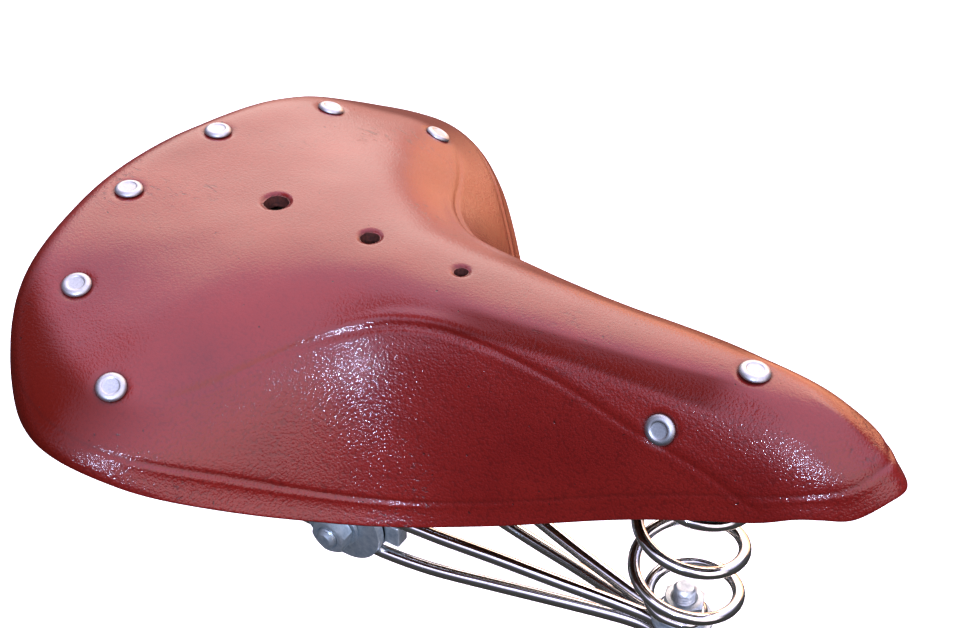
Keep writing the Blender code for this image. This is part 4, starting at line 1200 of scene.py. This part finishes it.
def cheek(node, guide):
    low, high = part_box(node)
    side = 1 if low.y > 0 else -1
    inner_y = min(abs(low.y), abs(high.y))
    outer_y = max(abs(low.y), abs(high.y))
    radius = (high.z - low.z) / 2
    half_run = 2.0 * MM
    outline = arc((half_run, 0.0), radius, -90.0, 90.0, 28)
    outline += arc((-half_run, 0.0), radius, 90.0, 270.0, 28)
    place = across_y(CLAMP.x, CLAMP.z, side * (inner_y + outer_y) / 2)
    piece = slab(node + "_block", outline, place, outer_y - inner_y, ZINC)
    for height in (RAIL_SPREAD, -RAIL_SPREAD):
        start = (CLAMP.x - 0.03, side * RAIL_Y, CLAMP.z + height)
        end = (CLAMP.x + 0.03, side * RAIL_Y, CLAMP.z + height)
        drill(piece, start, end, RAIL_RADIUS + GAP)
    drill(piece, (CLAMP.x, 0.0, CLAMP.z), (CLAMP.x, side * 0.04, CLAMP.z), THREAD_RADIUS + GAP)
    soften(piece, 0.6 * MM)
    dress(piece, "clamp_cheeks", "zinc", node)
    if guide:
        guide_bar(node, side, outer_y)


def guide_bar(node, side, outer_y):
    """Two arms of the inner cheek that run between the wires."""
    low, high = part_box(node)
    inner_y = middle("clip_band").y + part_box("clip_band")[1].y + 0.6 * MM
    arm = 4.6 * MM
    for label, start, end in (("front", CLAMP.x + 12.0 * MM, high.x), ("back", low.x, CLAMP.x - 12.0 * MM)):
        outline = ((start, -arm), (end, -arm), (end, arm), (start, arm))
        place = across_y(0.0, CLAMP.z, side * (inner_y + outer_y) / 2)
        piece = slab(node + "_arm_" + label, outline, place, outer_y - inner_y, ZINC)
        soften(piece, 0.8 * MM)
        dress(piece, "clamp_cheeks", "zinc", node)


def clip_band():
    """A strap bent round the post, with two rounded ears on the clamp bolt."""
    low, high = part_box("clip_band")
    thickness = 2.8 * MM
    center_radius = high.y - thickness / 2
    ear_y = 7.9 * MM
    height = (high.z - low.z) / 2
    tip = high.x - 0.02 * MM
    turn = math.degrees(math.asin(ear_y / center_radius))
    line = [Vector((x, ear_y, 0.0)) for x in np.linspace(tip, center_radius + 4.0 * MM, 16)]
    line += [Vector((x, y, 0.0)) for x, y in arc((0.0, 0.0), center_radius, turn + 12.0, 348.0 - turn, 56)]
    line += [Vector((point.x, -ear_y, 0.0)) for point in reversed(line[:16])]
    section = []
    for angle in range(0, 360, 15):
        a = math.radians(angle)
        flat_x = math.copysign(min(abs(math.cos(a)) * 1.35, 1.0), math.cos(a))
        flat_z = math.copysign(abs(math.sin(a)) ** 0.18, math.sin(a)) if angle % 180 else 0.0
        section.append((flat_x, flat_z))
    verts = []
    for index, point in enumerate(line):
        ahead = line[min(index + 1, len(line) - 1)] - line[max(index - 1, 0)]
        out = Vector((ahead.y, -ahead.x, 0.0)).normalized()
        past = max(point.x - CLAMP.x, 0.0)
        reach = math.sqrt(max(height ** 2 - past ** 2, (0.5 * MM) ** 2))
        for flat_x, flat_z in section:
            place = point + out * flat_x * thickness / 2
            verts.append((place.x, place.y, CLAMP.z + flat_z * reach))
    width = len(section)
    faces = grid_faces(len(line), width, False, True)
    faces.append(tuple(reversed(range(width))))
    faces.append(tuple(range((len(line) - 1) * width, len(line) * width)))
    piece = add_mesh("clip_strap", verts, faces, (ZINC,), 40.0)
    drill(piece, (CLAMP.x, -0.03, CLAMP.z), (CLAMP.x, 0.03, CLAMP.z), THREAD_RADIUS + GAP)
    piece.data.shade_smooth()
    piece.data.set_sharp_from_angle(angle=math.radians(40.0))
    dress(piece, "seat_clip", "zinc", "clip_band")


def rear_bridge():
    low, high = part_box("rear_bridge")
    half = (high.x - low.x) / 2
    outline = arc((0.0, REAR_SPRING.y), half, 0.0, 180.0, 24)
    outline += arc((0.0, -REAR_SPRING.y), half, 180.0, 360.0, 24)
    place = Matrix.Translation((REAR_SPRING.x, 0.0, (low.z + high.z) / 2))
    piece = slab("rear_tie_bar", outline, place, high.z - low.z, ZINC)
    for side in (1, -1):
        start = Vector((REAR_SPRING.x, side * REAR_SPRING.y, low.z - MM))
        drill(piece, start, start + UP * 0.01, THREAD_RADIUS + GAP)
    soften(piece)
    dress(piece, "undercarriage", "zinc", "rear_bridge")


def bent_sheet(name, line, place, width, thickness, material):
    """A strip of sheet whose middle line is given in the place's plane, with soft bends."""
    path = smooth_path([Vector((x, y, 0.0)) for x, y in line], 0.6 * MM)
    near = []
    far = []
    for index, point in enumerate(path):
        ahead = path[min(index + 1, len(path) - 1)] - path[max(index - 1, 0)]
        out = Vector((ahead.y, -ahead.x, 0.0)).normalized() * thickness / 2
        near.append((point + out).to_2d())
        far.append((point - out).to_2d())
    return slab(name, near + far[::-1], place, width, material)


def nose_bracket():
    """A channel with rounded bends on top of the nose spring."""
    low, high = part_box("nose_bracket")
    sheet = 2.6 * MM
    half = high.y - sheet / 2
    foot = low.z + sheet / 2
    bend = 3.0 * MM
    line = [(-half, high.z), (-half, foot + 2 * bend), (-half, foot + bend)]
    line += [(-half + bend * 0.3, foot + bend * 0.3), (-half + bend, foot), (-half + 2 * bend, foot)]
    line += [(-y, z) for y, z in reversed(line)]
    upright = Matrix(((0, 0, 1, NOSE_SPRING.x), (1, 0, 0, 0), (0, 1, 0, 0), (0, 0, 0, 1)))
    piece = bent_sheet("nose_channel", line, upright, high.x - low.x, sheet, SHEET)
    pin = middle("shackle_pin")
    across = Vector((0.0, 0.02, 0.0))
    drill(piece, pin - across, pin + across, 3.3 * MM)
    drill(piece, (NOSE_SPRING.x, 0.0, low.z - MM), (NOSE_SPRING.x, 0.0, low.z + 5 * MM), THREAD_RADIUS + GAP)
    soften(piece, 0.3 * MM)
    dress(piece, "nose_carriage", "sheet", "nose_bracket")


def shackle_pin():
    low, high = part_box("shackle_pin")
    half = (high.y - low.y) / 2
    shank = 3.0 * MM
    side = [(0.4 * MM, half), (2.6 * MM, half - 0.15 * MM), (4.1 * MM, half - 0.8 * MM)]
    side += [(4.6 * MM, half - 1.6 * MM), (4.6 * MM, half - 2.0 * MM), (shank, half - 2.0 * MM)]
    rings = side + [(radius, -y) for radius, y in reversed(side)]
    piece = ring_stack("shackle_pin_round", rings, facing(middle("shackle_pin"), (0, 1, 0)), (ZINC,))
    dress(piece, "nose_carriage", "zinc", "shackle_pin")


def tension_shackle():
    low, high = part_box("tension_shackle")
    pin = middle("shackle_pin")
    half_x = (high.x - low.x) / 2
    outline = [(-half_x, pin.z)] + arc((0.0, pin.z), 6.8 * MM, 200.0, 340.0, 24)
    outline += [(half_x, pin.z), (half_x, high.z), (-half_x, high.z)]
    piece = slab("tension_block", outline, across_y(pin.x, 0.0, 0.0), high.y - low.y, ZINC)
    across = Vector((0.0, 0.02, 0.0))
    drill(piece, pin - across, pin + across, 3.3 * MM)
    screw = middle("tension_bolt")
    drill(piece, (pin.x - 0.02, 0.0, screw.z), (pin.x + 0.02, 0.0, screw.z), THREAD_RADIUS + GAP)
    soften(piece, 0.6 * MM)
    dress(piece, "top", "zinc", "tension_shackle")


def tension_bolt():
    """A threaded rod with a hexagon collar ahead of the shackle."""
    low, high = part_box("tension_bolt")
    length = high.x - low.x
    collar = 28.5 * MM
    collar_length = 5.5 * MM
    full = hex_radius(NUT_ACROSS)
    flat = FLAT_RADIUS
    drop = (full - flat) * CHAMFER_SLOPE
    plain = THREAD_RADIUS - 0.1 * MM
    rings = [(THREAD_RADIUS - 1.2 * MM, 0.0), (THREAD_RADIUS - 0.8 * MM, 0.3 * MM)]
    rings += thread_rings(0.8 * MM, collar - 2.0 * MM)
    rings += [(plain, collar - 1.6 * MM), (plain, collar), (flat, collar), (full, collar + drop)]
    rings += [(full, collar + collar_length - drop), (flat, collar + collar_length)]
    rings += [(plain, collar + collar_length), (plain, length - 0.6 * MM), (plain - 0.6 * MM, length)]
    place = facing((low.x, 0.0, (low.z + high.z) / 2), (1, 0, 0))
    piece = ring_stack("tension_rod", rings[::-1], place, (ZINC,), smooth_angle=28.0)
    dress(piece, "tension_screw", "zinc", "tension_bolt")


def cantle_bridge():
    """A strip across the rear whose ends turn up to the cantle plate."""
    low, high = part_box("cantle_bridge")
    sheet = 3.0 * MM
    flat_z = low.z + sheet / 2
    bend = REAR_SPRING.y + 12.0 * MM
    half = [(0.0, flat_z), (0.5 * bend, flat_z), (bend - 2.0 * MM, flat_z)]
    half += [(bend + 1.5 * MM, flat_z + 0.9 * MM), (high.y - 0.8 * MM, high.z - sheet / 2 - 0.3 * MM)]
    line = [(-y, z) for y, z in reversed(half[1:])] + half
    upright = Matrix(((0, 0, 1, REAR_SPRING.x), (1, 0, 0, 0), (0, 1, 0, 0), (0, 0, 0, 1)))
    piece = bent_sheet("cantle_strip", line, upright, high.x - low.x, sheet, SHEET)
    for side in (1, -1):
        start = Vector((REAR_SPRING.x, side * REAR_SPRING.y, low.z - MM))
        drill(piece, start, start + UP * 0.01, THREAD_RADIUS + GAP)
    soften(piece)
    dress(piece, "top", "sheet", "cantle_bridge")


def plate_under(name, ribs, shares, depth, thickness):
    """A sheet that follows the leather from below; ribs (n) and shares (n, m)."""
    step = 0.01
    here = TOP.points(ribs, shares)
    along = TOP.points(ribs + step, shares) - TOP.points(ribs - step, shares)
    ahead = TOP.points(ribs, np.minimum(shares + step, 1.0))
    down = ahead - TOP.points(ribs, np.maximum(shares - step, 0.0))
    normals = unit(np.cross(along, down))
    normals[shares == 0.0] = (0.0, 0.0, 1.0)
    outer = here - normals * depth
    inner = here - normals * (depth + thickness)
    grid = np.concatenate([outer, inner[:, ::-1]], axis=1)
    rows, width = grid.shape[:2]
    faces = [face[::-1] for face in grid_faces(rows, width, False, True)]
    faces.append(tuple(range(width)))
    faces.append(tuple(reversed(range((rows - 1) * width, rows * width))))
    return add_mesh(name, grid.reshape(-1, 3), faces, (SHEET,), 40.0)


def build_plates():
    depth = LEATHER_THICKNESS + 0.8 * MM
    thickness = 2.0 * MM
    ribs = np.linspace(-5.4, 5.4, 130)
    shares = np.broadcast_to(np.linspace(0.58, 0.92, 24), (130, 24))
    piece = plate_under("cantle_sheet", ribs, shares, depth, thickness)
    dress(piece, "top", "sheet", "cantle_plate")

    tip = TOP.count // 2
    ribs = np.linspace(tip - 5.3, tip + 5.3, 110)
    reach = 0.88 - 0.45 * ease(1.0 - np.abs(ribs - tip) / 4.0)
    shares = np.linspace(0.0, 1.0, 30)[None, :] * reach[:, None]
    piece = plate_under("nose_dome", ribs, shares, depth + 0.5 * MM, thickness)
    dress(piece, "nose_carrier", "sheet", "nose_piece")
    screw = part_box("tension_bolt")
    start = 181.0 * MM
    end = 192.0 * MM
    foot = middle("tension_bolt").z - 7.0 * MM
    place = Matrix.Translation(((start + end) / 2, 0.0, foot + 6.5 * MM))
    half_x = (end - start) / 2
    half_y = 6.0 * MM
    outline = ((-half_x, -half_y), (half_x, -half_y), (half_x, half_y), (-half_x, half_y))
    boss = slab("nose_boss", outline, place, 13.0 * MM, SHEET)
    axis_z = middle("tension_bolt").z
    drill(boss, (start - MM, 0.0, axis_z), (screw[1].x + GAP, 0.0, axis_z), 4.2 * MM)
    soften(boss, 0.6 * MM)
    dress(boss, "nose_carrier", "sheet", "nose_piece")


def build_sheet_parts():
    for label in ("left", "right"):
        cheek("inner_cheek_" + label, True)
        cheek("outer_cheek_" + label, False)
    clip_band()
    rear_bridge()
    nose_bracket()
    shackle_pin()
    tension_shackle()
    tension_bolt()
    cantle_bridge()
    build_plates()


# ---------------------------------------------------------------- studio

def direction_from(azimuth, elevation):
    """A unit vector towards a place; azimuth 0 is from -Y and 90 from +X, in degrees."""
    a = math.radians(azimuth)
    e = math.radians(elevation)
    return Vector((math.sin(a) * math.cos(e), -math.cos(a) * math.cos(e), math.sin(e)))


def area_light(name, azimuth, elevation, distance, size, power, color):
    center = (CAD_LOW + CAD_HIGH) / 2
    lamp = bpy.data.lights.new(name, "AREA")
    lamp.shape = "DISK"
    lamp.size = size
    lamp.energy = power
    lamp.color = color
    light = bpy.data.objects.new(name, lamp)
    back = direction_from(azimuth, elevation)
    light.location = center + back * distance
    light.rotation_euler = back.to_track_quat("Z", "Y").to_euler()
    bpy.context.scene.collection.objects.link(light)
    return light


def build_studio():
    area_light("key", 25.0, 29.0, 1.60, 0.09, 20.0, (0.58, 0.68, 1.0))
    area_light("warm_kicker", 178.0, 8.0, 0.70, 0.60, 1.4, (1.0, 0.40, 0.14))
    build_floor()
    build_world()


def build_floor():
    size = 6.0
    z = CAD_LOW.z - 0.10
    verts = [(-size, -size, z), (size, -size, z), (size, size, z), (-size, size, z)]
    n = Nodes("floor_white")
    mottle = n.noise(n.place(), 3.0, 2.0)
    color = n.mix(mottle, (0.93, 0.93, 0.93, 1.0), (0.97, 0.97, 0.97, 1.0))
    n.set(Base_Color=color, Roughness=0.9, Specular_IOR_Level=0.1)
    n.set(Emission_Color=(1.0, 1.0, 1.0, 1.0), Emission_Strength=0.55)
    floor = add_mesh("floor", verts, [(0, 1, 2, 3)], (n.material,))
    floor.visible_glossy = False
    floor.visible_diffuse = False
    floor.visible_shadow = False


def build_world():
    """A pale dome with soft bright and dark patches, placed for where the gloss falls on the hide."""
    world = bpy.data.worlds.new("studio")
    bpy.context.scene.world = world
    world.use_nodes = True
    tree = world.node_tree
    nodes = tree.nodes
    link = tree.links.new
    background = nodes["Background"]
    coordinates = nodes.new("ShaderNodeTexCoord")

    def facing_share(azimuth, elevation, low, high):
        dot = nodes.new("ShaderNodeVectorMath")
        dot.operation = "DOT_PRODUCT"
        link(coordinates.outputs["Generated"], dot.inputs[0])
        dot.inputs[1].default_value = direction_from(azimuth, elevation)
        spread = nodes.new("ShaderNodeMapRange")
        spread.interpolation_type = "SMOOTHSTEP"
        link(dot.outputs["Value"], spread.inputs["Value"])
        spread.inputs["From Min"].default_value = low
        spread.inputs["From Max"].default_value = high
        return spread.outputs["Result"]

    def blend_color(share, first, second):
        mix = nodes.new("ShaderNodeMix")
        mix.data_type = "RGBA"
        link(share, mix.inputs["Factor"])
        for socket, value in ((mix.inputs[6], first), (mix.inputs[7], second)):
            if isinstance(value, bpy.types.NodeSocket):
                link(value, socket)
            else:
                socket.default_value = value
        return mix.outputs[2]

    sky = blend_color(facing_share(0.0, 90.0, 0.22, 0.80), (0.08, 0.08, 0.09, 1.0), (2.25, 2.1, 3.0, 1.0))
    sky = blend_color(facing_share(75.0, 24.0, 0.84, 0.97), sky, (2.6, 2.2, 2.4, 1.0))
    sky = blend_color(facing_share(-58.0, 50.0, 0.88, 0.96), sky, (0.12, 0.12, 0.12, 1.0))
    sky = blend_color(facing_share(-155.0, 2.0, 0.90, 0.98), sky, (1.4, 0.85, 0.70, 1.0))
    sky = blend_color(facing_share(-145.0, 32.0, 0.87, 0.99), sky, (4.8, 3.85, 3.5, 1.0))
    sky = blend_color(facing_share(180.0, 8.0, 0.89, 0.98), sky, (1.4, 0.85, 0.65, 1.0))
    sky = blend_color(facing_share(178.0, 36.0, 0.90, 0.985), sky, (4.8, 3.6, 3.3, 1.0))
    sky = blend_color(facing_share(0.0, -90.0, 0.14, 0.30), sky, (0.055, 0.052, 0.050, 1.0))
    path = nodes.new("ShaderNodeLightPath")
    sky = blend_color(path.outputs["Is Camera Ray"], sky, (0.98, 0.98, 0.98, 1.0))
    link(sky, background.inputs["Color"])
    background.inputs["Strength"].default_value = 1.0


def build_camera():
    camera = bpy.data.cameras.new("camera")
    camera.sensor_width = 36.0
    camera.lens = 57.58
    camera.dof.use_dof = False
    camera.clip_start = 0.01
    camera.clip_end = 50.0
    eye = bpy.data.objects.new("camera", camera)
    eye.location = (0.28666, -0.33953, 0.40860)
    eye.rotation_mode = "QUATERNION"
    eye.rotation_quaternion = direction_from(32.012, 36.607).to_track_quat("Z", "Y")
    bpy.context.scene.collection.objects.link(eye)
    bpy.context.scene.camera = eye


# ---------------------------------------------------------------- assembly

build_camera()
build_studio()
build_leather()
build_rivets()
build_springs()
build_rails()
build_fasteners()
build_sheet_parts()
bpy.context.scene.view_settings.view_transform = "Standard"
